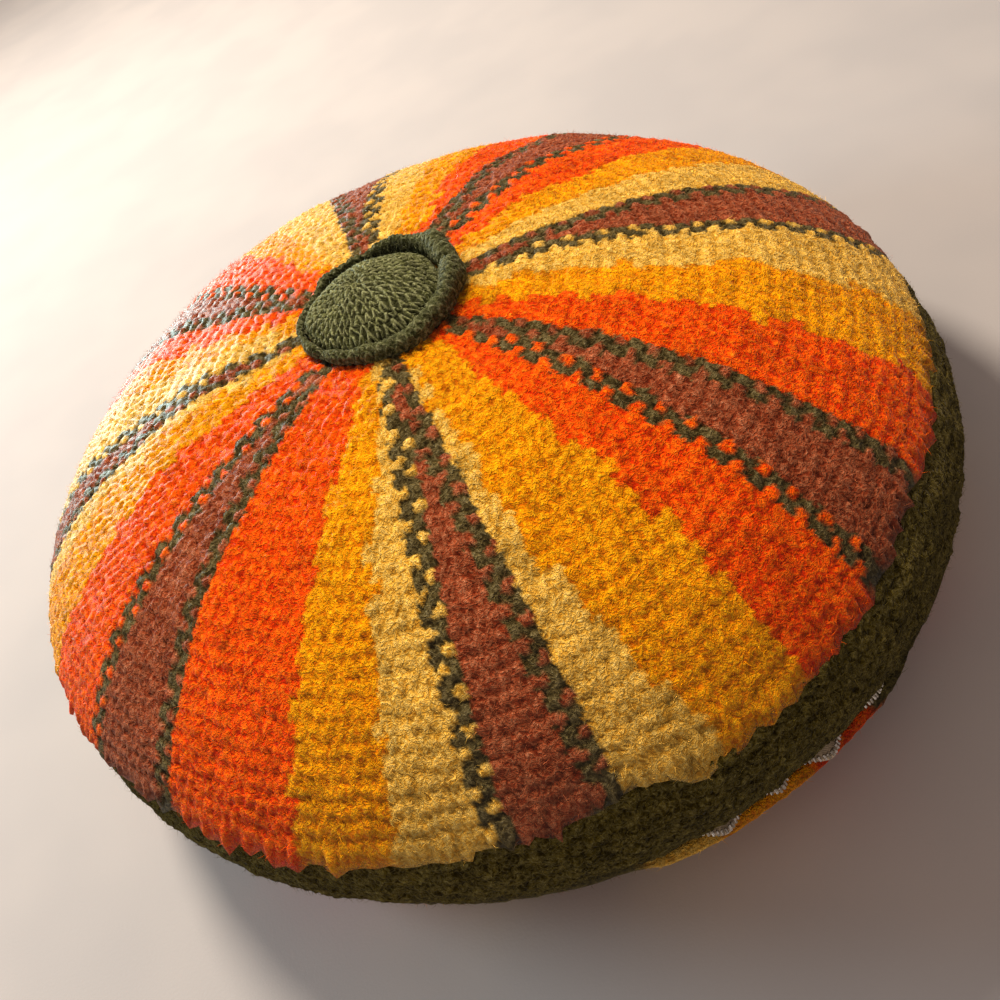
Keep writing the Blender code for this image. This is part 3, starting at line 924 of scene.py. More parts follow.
@dataclass
class FrontCover:
    """The crowned front with its filling: stripes of stitches from button to seam."""

    rows: int = 34
    rib_start: float = 38 * MM
    first_rows: int = 6
    ring_step: float = 1.2 * MM
    relief: float = 1.15 * MM
    swell: float = 0.7 * MM
    panel_edge: float = 3 * MM
    undercut: float = 0.4 * MM
    scallop: float = 4.0 * MM
    work: StripedWork = field(default_factory=StripedWork)
    columns: int = 256
    finer_from: Pair = (50.0, 100.0)
    retreat: float = 9 * MM
    retreat_levels: Pair = (22 * MM, 12 * MM)
    retreat_depths: Pair = (45 * MM, 12 * MM)
    # Painted shadow under the button: its strength, and the radii over which it fades.
    painted_button_shadow: float = 0.85
    button_shadow_fade: Pair = (34 * MM, 30 * MM)
    hang_out: float = 0.9
    hang_rings: Pair = (4.0, 1.5)
    hang_own: Pair = (0.15, 1.2)
    fray: float = 0.12
    fray_waves: Pair = (3.2 * MM, 16 * MM)
    sway: float = 0.45 * MM
    sway_wave: float = 3.0 * MM
    sway_from: float = 8 * MM
    swell_wave: float = 46 * MM
    swell_radii: Pair = (190 * MM, 150 * MM)
    felt: float = 0.22 * MM
    felt_wave: float = 2.6 * MM

    def __post_init__(self) -> None:
        """Work out the section and its divisions."""
        self.length, self.radius, self.height = FORM.crown_outline()
        self.whole = float(self.length[-1])
        self.crown_rings = round(self.whole / self.ring_step)
        wall = FORM.seam_radius - FORM.thickness - FORM.gap
        inset = FORM.thickness + FORM.gap
        edge_height = FORM.seam_height - self.panel_edge
        drop = edge_height - FORM.back_seam_height
        under = [(FORM.seam_radius - self.undercut, edge_height), (wall, edge_height)]
        under += [(wall, FORM.back_seam_height + drop * quarter / 4) for quarter in (3, 2, 1)]
        under += [tuple(point) for point in FORM.dish_arc(inset, 8)]
        under += [(FORM.rest_radius / 2, inset), (0.0, inset)]
        self.under = np.array(under)

    def section(self, ring: Array) -> tuple[Array, Array]:
        """Radius and height at each ring, from the pole over the seam to below."""
        steps = np.arange(self.crown_rings + 1) * self.whole / self.crown_rings
        radii = np.concatenate([np.interp(steps, self.length, self.radius), self.under[:, 0]])
        heights = np.concatenate([np.interp(steps, self.length, self.height), self.under[:, 1]])
        return read_rings(ring, radii, heights)

    def place(self, angle: Array, ring: Array) -> Array:
        """Points of the front on the real cushion."""
        radius, height = self.section(ring)
        low = smooth_step(*self.retreat_levels, height - FORM.back_seam_height)
        out = smooth_step(*self.retreat_depths, FORM.seam_radius - radius)
        radius = radius - self.retreat * FORM.zip_share(angle) * low * out
        return FORM.bend(radius, angle, height)

    def row_place(self, ring: Array) -> Array:
        """Rows of stitches from the pole, with their fraction."""
        length = np.minimum(ring, self.crown_rings) * self.whole / self.crown_rings
        ribs = self.rows - self.first_rows
        inner = length / self.rib_start * self.first_rows
        outer = self.first_rows + (length - self.rib_start) / (self.whole - self.rib_start) * ribs
        return np.where(length < self.rib_start, inner, outer)

    def scallop_edge(self, worked: WorkedMesh, fields: StitchField) -> None:
        """Let the last row's stitches hang over the band one by one."""
        before, past = self.hang_rings
        near = smooth_step(self.crown_rings - before, self.crown_rings, worked.ring)
        near = near * (worked.ring < self.crown_rings + past)
        own = np.random.default_rng(SEED + 7).uniform(*self.hang_own, fields.count)[fields.cell]
        drop = self.scallop * np.abs(np.sin(math.pi * fields.across)) * near * own
        points = worked.points()
        points = points + flat_outward(points) * (self.hang_out * drop)[:, None]
        points[:, 2] -= drop
        worked.place(points)

    def build(self, finish: bpy.types.Material) -> bpy.types.Object:
        """Make the front and its stitches.

        Args:
            finish: the wool.

        Returns:
            The piece.
        """
        per_mm = self.crown_rings / self.whole * MM
        finer = tuple((round(length * per_mm), self.crown_rings) for length in self.finer_from)
        plan = GridPlan(self.columns, self.crown_rings + len(self.under), finer)
        worked = worked_mesh("front_cover", plan, self.place)
        radius, _ = self.section(worked.ring)
        points = worked.points()
        fray = soft_waves(points, self.fray_waves[0], SEED + 1, FINE_COUNT) * self.fray
        fray += soft_waves(points, self.fray_waves[1], SEED + 8) * self.fray
        sway = soft_waves(points, self.sway_wave, SEED + 5, FINE_COUNT) * self.sway
        angle = worked.angle + np.degrees(sway / np.maximum(radius, self.sway_from))
        fields = self.work.lay_out(angle, self.row_place(worked.ring) + fray, radius, self.rows)
        over = smooth_step(self.crown_rings + 2.0, self.crown_rings - 0.5, worked.ring)
        rise, hollow_shade_mask = stitch_relief(fields, self.relief, SEED + 2)
        swell = soft_waves(points, self.swell_wave, SEED + 3) * self.swell
        swell *= smooth_step(*self.swell_radii, radius)
        felt = soft_waves(points, self.felt_wave, SEED + 6, FINE_COUNT) * self.felt
        worked.raise_by((rise + swell + felt) * over)
        self.scallop_edge(worked, fields)
        # Painted shadow: the cover is darkened under the button, where only the gap beside the dome shows.
        button_shadow_fade = smooth_step(*self.button_shadow_fade, radius)[:, None]
        worked.note("Yarn", yarn_colours(fields, SEED + 4) * (1 - self.painted_button_shadow * button_shadow_fade))
        # Painted shade between the stitches.
        worked.note("HollowShade", hollow_shade_mask * over)
        worked.note("Open", (over > 0.5).astype(float))
        piece = show("front_cover", worked.mesh, finish)
        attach(piece, "root")
        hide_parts("front_panel")
        return piece


def flat_outward(points: Array) -> Array:
    """Level directions away from the cushion's axis."""
    level = points * np.array([1.0, 1.0, 0.0])
    return level / np.maximum(np.linalg.norm(level, axis=1), 1e-9)[:, None]


@dataclass(frozen=True)
class StitchForm:
    """The form of one stitch, as shares of its size."""

    own_height: float = 0.13
    own_lean: float = 0.10
    lump_power: float = 0.8
    slant: float = 0.4
    ridge_share: float = 0.7
    ridge_power: float = 0.7
    strand_share: float = 0.3
    hollow_shade_slope: float = 1.2


STITCH = StitchForm()


def stitch_relief(fields: StitchField, size: float, seed: int) -> tuple[Array, Array]:
    """How far each point stands out of the work, and how deep it lies between stitches.

    Args:
        fields: the points' places in their stitches.
        size: from the bottom of a groove to the top of a stitch.
        seed: picks the stitches' own differences.

    Returns:
        The rise, and the mask of painted shade between stitches, from 0 on a stitch to 1 in a corner
        between four.
    """
    rng = np.random.default_rng(seed)
    tall = rng.normal(0, STITCH.own_height, fields.count)[fields.cell]
    lean = rng.normal(0, STITCH.own_lean, fields.count)[fields.cell]
    across = np.clip(fields.across + lean * (fields.along - 0.5), 0, 1)
    lump = np.abs(np.sin(math.pi * across)) ** STITCH.lump_power
    slanted = np.clip(fields.along + STITCH.slant * (across - 0.5), 0, 1)
    ridge = STITCH.ridge_share * np.abs(np.sin(math.pi * slanted)) ** STITCH.ridge_power
    ridge = ridge + STITCH.strand_share * np.abs(np.sin(math.tau * slanted))
    body = ridge * (0.5 + 0.5 * lump)
    dots = (fields.shape[fields.cell] != Shape.FULL.value) * (fields.shown() - 0.5)
    rise = size * (body * (1 + tall) - 0.5 + 0.5 * dots)
    # The second value is the mask of painted shade between stitches.
    return rise, np.clip(1 - body * STITCH.hollow_shade_slope, 0, 1)


@dataclass
class Band:
    """The upright dark-green band between the two seams."""

    rows: int = 7
    rings_per_row: int = 5
    columns: int = 896
    setback: float = 0.6 * MM
    relief: float = 0.8 * MM
    stitch: float = 4.4 * MM
    panel_edge: float = 3 * MM
    zip_gap: float = 1.0 * MM
    droop: float = 0.2 * MM
    edge_fade: float = 15 * MM
    inner_rings: int = 3
    wander: float = 0.12
    wander_wave: float = 9 * MM
    slant: float = 0.35
    felts: Pair = (0.3 * MM, 0.5 * MM)
    felt_waves: Pair = (3.4 * MM, 17 * MM)
    shade: float = 0.12

    def section(self, ring: Array) -> tuple[Array, Array]:
        """Radius and height once round the band's cross-section."""
        top = FORM.seam_height - self.panel_edge - FORM.gap
        bottom = FORM.back_seam_height + FORM.gap
        outer, inner = FORM.seam_radius - self.setback, FORM.seam_radius - FORM.thickness
        last = self.rows * self.rings_per_row
        rings = np.array([0, last, last + 1, last + self.inner_rings, last + self.inner_rings + 1])
        radii = np.array([outer, outer, inner, inner, outer])
        heights = np.array([top, bottom, bottom, top, top])
        return np.interp(ring, rings, radii), np.interp(ring, rings, heights)

    def place(self, angle: Array, ring: Array) -> Array:
        """Points of the band on the real cushion."""
        radius, height = self.section(ring)
        low = smooth_step(self.edge_fade, 0.0, height - FORM.back_seam_height)
        opened = FORM.zip_open(angle)
        gap = self.zip_gap * opened - self.droop * (FORM.zip_share(angle) - opened)
        return FORM.bend(radius, angle, height + gap * low)

    def build(self, finish: bpy.types.Material) -> bpy.types.Object:
        """Make the band and its stitches.

        Args:
            finish: the wool.

        Returns:
            The piece.
        """
        last = self.rows * self.rings_per_row
        worked = worked_mesh("side_band", GridPlan(self.columns, last + self.inner_rings + 1), self.place)
        row_place = worked.ring / self.rings_per_row
        row_place = row_place + soft_waves(worked.points(), self.wander_wave, SEED + 15) * self.wander
        row = np.clip(np.floor(row_place), 0, self.rows - 1)
        along = np.clip(row_place - row, 0, 1)
        counts = round(math.tau * FORM.seam_radius / self.stitch)
        place = (worked.angle / 360 % 1) * counts + 0.5 * (row % 2) + self.slant * (along - 0.5)
        cell = (np.floor(place).astype(int) % counts) + row.astype(int) * counts
        total = counts * self.rows
        across = place - np.floor(place)
        green = np.full(total, list(Yarn).index(Yarn.FOREST))
        fields = StitchField(along, across, cell, green, np.zeros(total, int), total)
        rise, hollow_shade_mask = stitch_relief(fields, self.relief, SEED + 11)
        outside = (worked.ring <= last).astype(float)
        points = worked.points()
        felt = soft_waves(points, self.felt_waves[0], SEED + 13, FINE_COUNT) * self.felts[0]
        felt = felt + soft_waves(points, self.felt_waves[1], SEED + 14) * self.felts[1]
        worked.raise_by((rise + felt) * outside)
        worked.note("Yarn", yarn_colours(fields, SEED + 12, self.shade))
        # Painted shade between the stitches.
        worked.note("HollowShade", hollow_shade_mask * outside)
        worked.note("Open", outside)
        piece = show("side_band", worked.mesh, finish)
        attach(piece, "root")
        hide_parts("gusset")
        return piece


@dataclass
class BackCover:
    """The crochet back, a shallow dish that lies flat on the floor."""

    columns: int = 448
    ring_step: float = 2.1 * MM
    rows: int = 32
    relief: float = 1.1 * MM
    lip_fade: float = 30 * MM
    lip_reach: float = 2.4 * MM
    lip_gap: float = 3.2 * MM
    lip_closed: float = 1.1 * MM
    lip_middle: float = -79.5
    lip_half: float = 13.5
    lip_blend: float = 0.5
    seam_rows: Pair = (1.2, 0.9)
    dish_steps: tuple[int, int] = (60, 8)
    pressed: float = 4 * MM
    work: StripedWork = field(default_factory=lambda: StripedWork(turned=4.0, seed=SEED + 20))

    def __post_init__(self) -> None:
        """Work out the section: outside from the middle to the seam, then back inside."""
        outer_steps, inner_steps = self.dish_steps
        outside = np.concatenate([[(0.0, 0.0)], FORM.dish_arc(0.0, outer_steps)[::-1]])
        self.length = lengths_along(*outside.T)
        self.outside = outside
        self.whole = float(self.length[-1])
        self.outer_rings = round(self.whole / self.ring_step)
        middle = [(FORM.rest_radius / 2, FORM.thickness), (0.0, FORM.thickness)]
        self.inside = np.concatenate([FORM.dish_arc(FORM.thickness, inner_steps), middle])

    def section(self, ring: Array) -> tuple[Array, Array]:
        """Radius and height at each ring."""
        steps = np.arange(self.outer_rings + 1) * self.whole / self.outer_rings
        sides = [np.interp(steps, self.length, self.outside[:, k]) for k in (0, 1)]
        return read_rings(ring, *(np.concatenate([sides[k], self.inside[:, k]]) for k in (0, 1)))

    def place(self, angle: Array, ring: Array) -> Array:
        """Points of the back on the real cushion, its edge drawn out below the zip."""
        radius, height = self.section(ring)
        edge = FORM.seam_radius - FORM.thickness
        out = smooth_step(FORM.seam_radius - self.lip_fade, edge, radius) * FORM.zip_share(angle)
        up = smooth_step(0.0, FORM.back_seam_height, height)
        gap = self.lip_gap - self.lip_closed * (1 - FORM.zip_open(angle))
        return FORM.bend(radius + self.lip_reach * out * up, angle, height - gap * out * up)

    def build(self, finish: bpy.types.Material) -> bpy.types.Object:
        """Make the back and its stitches.

        Args:
            finish: the wool.

        Returns:
            The piece.
        """
        plan = GridPlan(self.columns, self.outer_rings + len(self.inside))
        worked = worked_mesh("back_cover", plan, self.place)
        radius, height = self.section(worked.ring)
        row_place = np.minimum(worked.ring, self.outer_rings) / self.outer_rings * self.rows
        fields = self.work.lay_out(worked.angle, row_place, radius, self.rows)
        rise, hollow_shade_mask = stitch_relief(fields, self.relief, SEED + 21)
        outside = smooth_step(self.outer_rings + 1.0, self.outer_rings, worked.ring)
        off_floor = smooth_step(0.0, self.pressed, height)
        pressed = np.minimum(0.0, rise - 0.5 * self.relief) * (1 - off_floor)
        worked.raise_by((rise * off_floor + pressed) * outside)
        keep_over(worked.mesh, 0.0)
        seam = smooth_step(*(self.rows - back for back in self.seam_rows), row_place)
        away = np.abs(turn_between(worked.angle, self.lip_middle))
        past = smooth_step(self.lip_half - self.lip_blend, self.lip_half + self.lip_blend, away)
        seam = (seam * past)[:, None]
        colours = yarn_colours(fields, SEED + 22)
        worked.note("Yarn", colours * (1 - seam) + Yarn.FOREST.linear() * seam)
        # Painted shade between the stitches.
        worked.note("HollowShade", hollow_shade_mask * outside)
        worked.note("Open", (off_floor * outside > 0.5).astype(float))
        piece = show("back_cover", worked.mesh, finish)
        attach(piece, "root")
        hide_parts("back_panel")
        return piece


@dataclass
class Button:
    """The covered button: a padded dome worked in fine rounds, and its rolled rim."""

    pad_radius: float = 26.5 * MM
    pad_rise: float = 13.6 * MM
    pad_edge: float = 3.0 * MM
    fullness: float = 1.0
    wave: float = 0.3 * MM
    waves: int = 5
    shift: Pair = (0.4 * MM, -0.4 * MM)
    roll_gap: float = 0.7 * MM
    round_pitch: float = 3.0 * MM
    vee: float = 3.5 * MM
    relief: float = 1.1 * MM
    leg: float = 0.19
    lean: float = 0.36
    pad_columns: int = 140
    pad_rings: int = 108
    pad_finer: tuple[int, int] = (22, 46)
    pad_uneven: float = 0.4 * MM
    pad_wave: float = 14 * MM
    base_shares: tuple[float, ...] = (1.0, 0.6, 0.3, 0.0)
    fewest_vees: int = 5
    row_turn: float = 0.37
    leg_power: float = 0.5
    hollow_shade_slope: float = 1.25
    wander: float = 0.5 * MM
    wander_waves: Pair = (7 * MM, 8 * MM)
    wander_from: float = 4 * MM
    rim_columns: int = 480
    rim_rings: int = 48
    rim_rounds: int = 8
    rim_reach: float = 30 * MM
    rim_relief: float = 0.5
    rim_painted_shade: float = 0.62
    rim_start: float = -125.0
    rim_middle: float = 0.46
    rim_swing: float = 0.54
    rim_uneven: float = 0.5 * MM
    rim_wave: float = 12 * MM
    rim_hollow_shade: float = 0.6
    slit_turns: Pair = (0.45, 0.95)
    slit_widths: Pair = (0.5, 1.8)
    shade: float = 0.12
    shade_wave: float = 9 * MM

    def moved(self, points: Array) -> Array:
        """Shift points to the button's own place."""
        return points + np.array([*self.shift, 0.0])

    def pad_section(self, ring: Array) -> tuple[Array, Array]:
        """Radius and rise at each ring of the dome and its base."""
        steps = np.linspace(0, math.pi / 2, 200)
        radius = self.pad_radius * np.sin(steps) ** self.fullness
        rise = self.pad_edge + (self.pad_rise - self.pad_edge) * np.cos(steps) ** self.fullness
        length = lengths_along(radius, rise)
        base = np.array(self.base_shares) * self.pad_radius
        even = np.linspace(0, length[-1], self.pad_rings - len(base) + 1)
        radii = np.concatenate([np.interp(even, length, radius), base])
        rises = np.concatenate([np.interp(even, length, rise), np.full(len(base), FORM.gap)])
        return read_rings(ring, radii, rises)

    def place_pad(self, angle: Array, ring: Array) -> Array:
        """Points of the dome."""
        radius, rise = self.pad_section(ring)
        height = FORM.seam_height + FORM.crown_height(radius) + rise
        edge = self.wave * np.sin(np.radians(self.waves * angle)) + around(ROLLS, "pad", angle) * MM
        edge = edge * (radius / self.pad_radius) ** 2
        return self.moved(FORM.bend(radius + edge, angle, height))

    def vee_relief(self, angle: Array, length: Array, reach: float) -> tuple[Array, Array]:
        """Fine V stitches in rounds.

        Args:
            angle: degrees.
            length: along the work, across the rounds.
            reach: the longest radius at which a round is counted.

        Returns:
            The rise as a share of the relief, and the mask of painted shade between the stitches.
        """
        place = length / self.round_pitch
        row = np.floor(place)
        along = place - row
        radius = np.clip((row + 0.5) * self.round_pitch, 0, reach)
        counts = np.maximum(self.fewest_vees, np.round(math.tau * radius / self.vee))
        across = (angle / 360) * counts + self.row_turn * row
        across = across - np.floor(across)
        away = np.minimum(
            np.abs(across - 0.5 + self.lean * along),
            np.abs(across - 0.5 - self.lean * along),
        )
        leg = np.clip(1 - (away / self.leg) ** 2, 0, 1)
        body = leg * (0.5 + 0.5 * np.abs(np.sin(math.pi * along)) ** self.leg_power)
        # The second value is the mask of painted shade between the V stitches.
        return body - 0.5, np.clip(1 - body * self.hollow_shade_slope, 0, 1)

    def rounds(self, points: Array) -> tuple[Array, Array]:
        """The worked rounds on the dome, whose middle lies off the button's own.

        Args:
            points: places on the dome.

        Returns:
            Each point's angle about the rounds' middle and its distance from it.
        """
        flat = points[:, :2] - self.middle()
        share = np.clip(np.linalg.norm(flat, axis=1) / self.pad_radius, 0, 1)
        flat = flat - np.array([SPOTS[0].x, SPOTS[0].y]) * MM * (1 - share)[:, None]
        sway = soft_waves(points, self.wander_waves[0], SEED + 35) * self.wander
        stretch = soft_waves(points, self.wander_waves[1], SEED + 36) * self.wander
        length = np.linalg.norm(flat, axis=1) + stretch
        turn = np.arctan2(flat[:, 1], flat[:, 0]) + sway / np.maximum(length, self.wander_from)
        angle = np.degrees(turn)
        return angle, np.maximum(length, 0.0)

    def middle(self) -> Array:
        """The button's middle on the cushion."""
        return self.moved(FORM.bend(0.0, 0.0, FORM.seam_height + FORM.crown))[:2]

    def dents(self, points: Array) -> Array:
        """How far the dents and knobs push the surface out."""
        flat = points[:, :2] - self.middle()
        rise = np.zeros(len(points))
        for spot in SPOTS:
            away = np.linalg.norm(flat - np.array([spot.x, spot.y]) * MM, axis=1) / (spot.radius * MM)
            rise += spot.size * MM * np.exp(-(away**2))
        return rise

    def build_pad(self, finish: bpy.types.Material) -> bpy.types.Object:
        """Make the dome.

        Args:
            finish: the wool.

        Returns:
            The piece.
        """
        finer = tuple((ring, self.pad_rings) for ring in self.pad_finer)
        plan = GridPlan(self.pad_columns, self.pad_rings, finer)
        worked = worked_mesh("button_dome", plan, self.place_pad)
        top = smooth_step(self.pad_rings - 3.0, self.pad_rings - 6.0, worked.ring)
        points = worked.points()
        angle, length = self.rounds(points)
        rise, hollow_shade_mask = self.vee_relief(angle, length, self.pad_radius)
        uneven = soft_waves(points, self.pad_wave, SEED + 31) * self.pad_uneven + self.dents(points)
        worked.raise_by((rise * self.relief + uneven) * top)
        worked.note("Yarn", Yarn.LEAF.linear() * self.shades(points, SEED + 32))
        # Painted shade between the stitches.
        worked.note("HollowShade", hollow_shade_mask * top)
        worked.note("Open", top)
        piece = show("button_dome", worked.mesh, finish)
        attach(piece, "root")
        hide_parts("button_pad")
        return piece

    def shades(self, points: Array, seed: int) -> Array:
        """How light the wool is at each point, around 1."""
        return (1 + self.shade * soft_waves(points, self.shade_wave, seed))[:, None]

    def turn(self, ring: Array) -> Array:
        """The turn round the rim's own section, in radians, level outward at 0."""
        return np.radians(self.rim_start - 360 * ring / self.rim_rings)

    def place_rim(self, angle: Array, ring: Array) -> Array:
        """Points of the rolled rim."""
        lump = bump_sum(LUMPS, angle) * MM
        inner = self.pad_radius + self.roll_gap
        inner = inner + (around(ROLLS, "slit", angle) + around(ROLLS, "pad", angle)) * MM
        turn = self.turn(ring)
        up = np.maximum(0.0, self.rim_middle + self.rim_swing * np.sin(turn))
        lean = around(ROLLS, "lean", angle) * MM * up**2
        width = around(ROLLS, "outer", angle) * MM + 0.5 * lump - inner
        radius = inner + width * (1 + np.cos(turn)) / 2 + lean
        tall = around(ROLLS, "height", angle) * MM + lump
        height = FORM.seam_height + FORM.crown_height(radius) + FORM.gap + up * tall
        return self.moved(FORM.bend(radius, angle, height))

    def build_rim(self, finish: bpy.types.Material) -> bpy.types.Object:
        """Make the rolled rim.

        Args:
            finish: the wool.

        Returns:
            The piece.
        """
        worked = worked_mesh("button_roll", GridPlan(self.rim_columns, self.rim_rings), self.place_rim)
        points = worked.points()
        length = worked.ring / self.rim_rings * self.rim_rounds * self.round_pitch + 2 * self.rim_reach
        rise, hollow_shade_mask = self.vee_relief(worked.angle, length, self.rim_reach)
        uneven = soft_waves(points, self.rim_wave, SEED + 33) * self.rim_uneven
        worked.raise_by(rise * self.relief * self.rim_relief + uneven)
        # Painted shade: the roll's inner face is darkened where the slit parts it from the dome, as a dark
        # gap.
        inward = smooth_step(*self.slit_turns, -np.cos(self.turn(worked.ring)))
        slit = smooth_step(*self.slit_widths, around(ROLLS, "slit", worked.angle))
        hollow_shade_mask = np.maximum(hollow_shade_mask * self.rim_hollow_shade, inward * slit)
        # Painted shade: the whole rim wears a darker copy of the dome's yarn.
        worked.note("Yarn", Yarn.LEAF.linear() * self.rim_painted_shade * self.shades(points, SEED + 34))
        worked.note("HollowShade", hollow_shade_mask)
        worked.note("Open", np.ones(len(points)))
        piece = show("button_roll", worked.mesh, finish)
        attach(piece, "root")
        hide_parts("button_rim")
        return piece


@dataclass(frozen=True)
class Fuzz:
    """Loose fibres that stand off a worked surface."""

    name: str
    per_square_mm: float
    seed: int
    slot: str
    length: float = 2.4 * MM
    width: float = 0.13 * MM
    curl: float = 0.5
    least_tilt: float = 0.6
    most_tilt: float = 1.45
    roll: float = 1.5
    least_size: float = 0.45
    most_size: float = 1.35
    over_floor: float = 0.05 * MM

    def strand(self) -> bpy.types.Object:
        """One curved, tapered fibre that stands at the origin."""
        bm = bmesh.new()
        cone = {"cap_ends": True, "cap_tris": True, "segments": 3, "radius1": self.width / 2}
        bmesh.ops.create_cone(bm, radius2=0.0, depth=self.length, **cone)
        tall = [edge for edge in bm.edges if abs(edge.verts[0].co.z - edge.verts[1].co.z) > self.width]
        bmesh.ops.subdivide_edges(bm, edges=tall, cuts=1)
        for vert in bm.verts:
            up = vert.co.z + self.length / 2
            vert.co.z = up
            vert.co.x += self.curl * up * up / self.length
        bmesh.ops.triangulate(bm, faces=bm.faces)
        bmesh.ops.recalc_face_normals(bm, faces=bm.faces)
        return bpy.data.objects.new("strand", new_mesh("strand", bm))

    def grow(self, ground: bpy.types.Object, finish: bpy.types.Material) -> bpy.types.Object:
        """Scatter the fibres over a piece.

        Args:
            ground: the piece, with its Yarn and Open attributes.
            finish: the fibre's look.

        Returns:
            The piece of fibres.
        """
        strand = self.strand()
        tree = bpy.data.node_groups.new("scatter", "GeometryNodeTree")
        for way in ("INPUT", "OUTPUT"):
            tree.interface.new_socket("Geometry", in_out=way, socket_type="NodeSocketGeometry")

        def add(kind: str, settings: dict, sockets: dict) -> bpy.types.Node:
            """Add one node and feed it."""
            node = tree.nodes.new(kind)
            for key, value in settings.items():
                setattr(node, key, value)
            for key, value in sockets.items():
                if isinstance(value, bpy.types.NodeSocket):
                    tree.links.new(value, node.inputs[key])
                else:
                    node.inputs[key].default_value = value
            return node

        source = add("NodeGroupInput", {}, {})
        opened = add("GeometryNodeInputNamedAttribute", {"data_type": "FLOAT"}, {"Name": "Open"})
        dense = {0: opened.outputs["Attribute"], 1: self.per_square_mm / MM**2}
        density = add("ShaderNodeMath", {"operation": "MULTIPLY"}, dense)
        wanted = {"Mesh": source.outputs[0], "Density": density.outputs[0], "Seed": self.seed}
        points = add("GeometryNodeDistributePointsOnFaces", {"distribute_method": "RANDOM"}, wanted)

        def random_turn(low: tuple, high: tuple, seed: int) -> bpy.types.NodeSocket:
            """Random Euler angles."""
            bounds = {0: low, 1: high, "Seed": seed}
            return add("FunctionNodeRandomValue", {"data_type": "FLOAT_VECTOR"}, bounds).outputs[0]

        def turned(rotation: bpy.types.NodeSocket, by: bpy.types.NodeSocket) -> bpy.types.NodeSocket:
            """A rotation followed by a turn about its own axes."""
            sockets = {"Rotation": rotation, "Rotate By": by}
            return add("FunctionNodeRotateRotation", {"rotation_space": "LOCAL"}, sockets).outputs[0]

        spin = random_turn((0, 0, 0), (0, 0, math.tau), self.seed + 1)
        tilts = (self.least_tilt, 0, -self.roll), (self.most_tilt, 0, self.roll)
        tilt = random_turn(*tilts, self.seed + 2)
        rotation = turned(turned(points.outputs["Rotation"], spin), tilt)
        bounds = {2: self.least_size, 3: self.most_size, "Seed": self.seed + 3}
        sizes = add("FunctionNodeRandomValue", {"data_type": "FLOAT"}, bounds)
        shape = add("GeometryNodeObjectInfo", {}, {"Object": strand})
        placed = {"Points": points.outputs["Points"], "Instance": shape.outputs["Geometry"]}
        placed |= {"Rotation": rotation, "Scale": sizes.outputs[1]}
        instances = add("GeometryNodeInstanceOnPoints", {}, placed)
        real = add("GeometryNodeRealizeInstances", {}, {"Geometry": instances.outputs[0]})
        add("NodeGroupOutput", {}, {0: real.outputs[0]})
        scatter = ground.modifiers.new("scatter", "NODES")
        scatter.node_group = tree
        bpy.context.view_layer.update()
        grown = ground.evaluated_get(bpy.context.evaluated_depsgraph_get())
        mesh = bpy.data.meshes.new_from_object(grown)
        keep_over(mesh, self.over_floor)
        ground.modifiers.remove(scatter)
        bpy.data.objects.remove(strand)
        piece = show(self.name, mesh, finish)
        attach(piece, "root")
        return piece


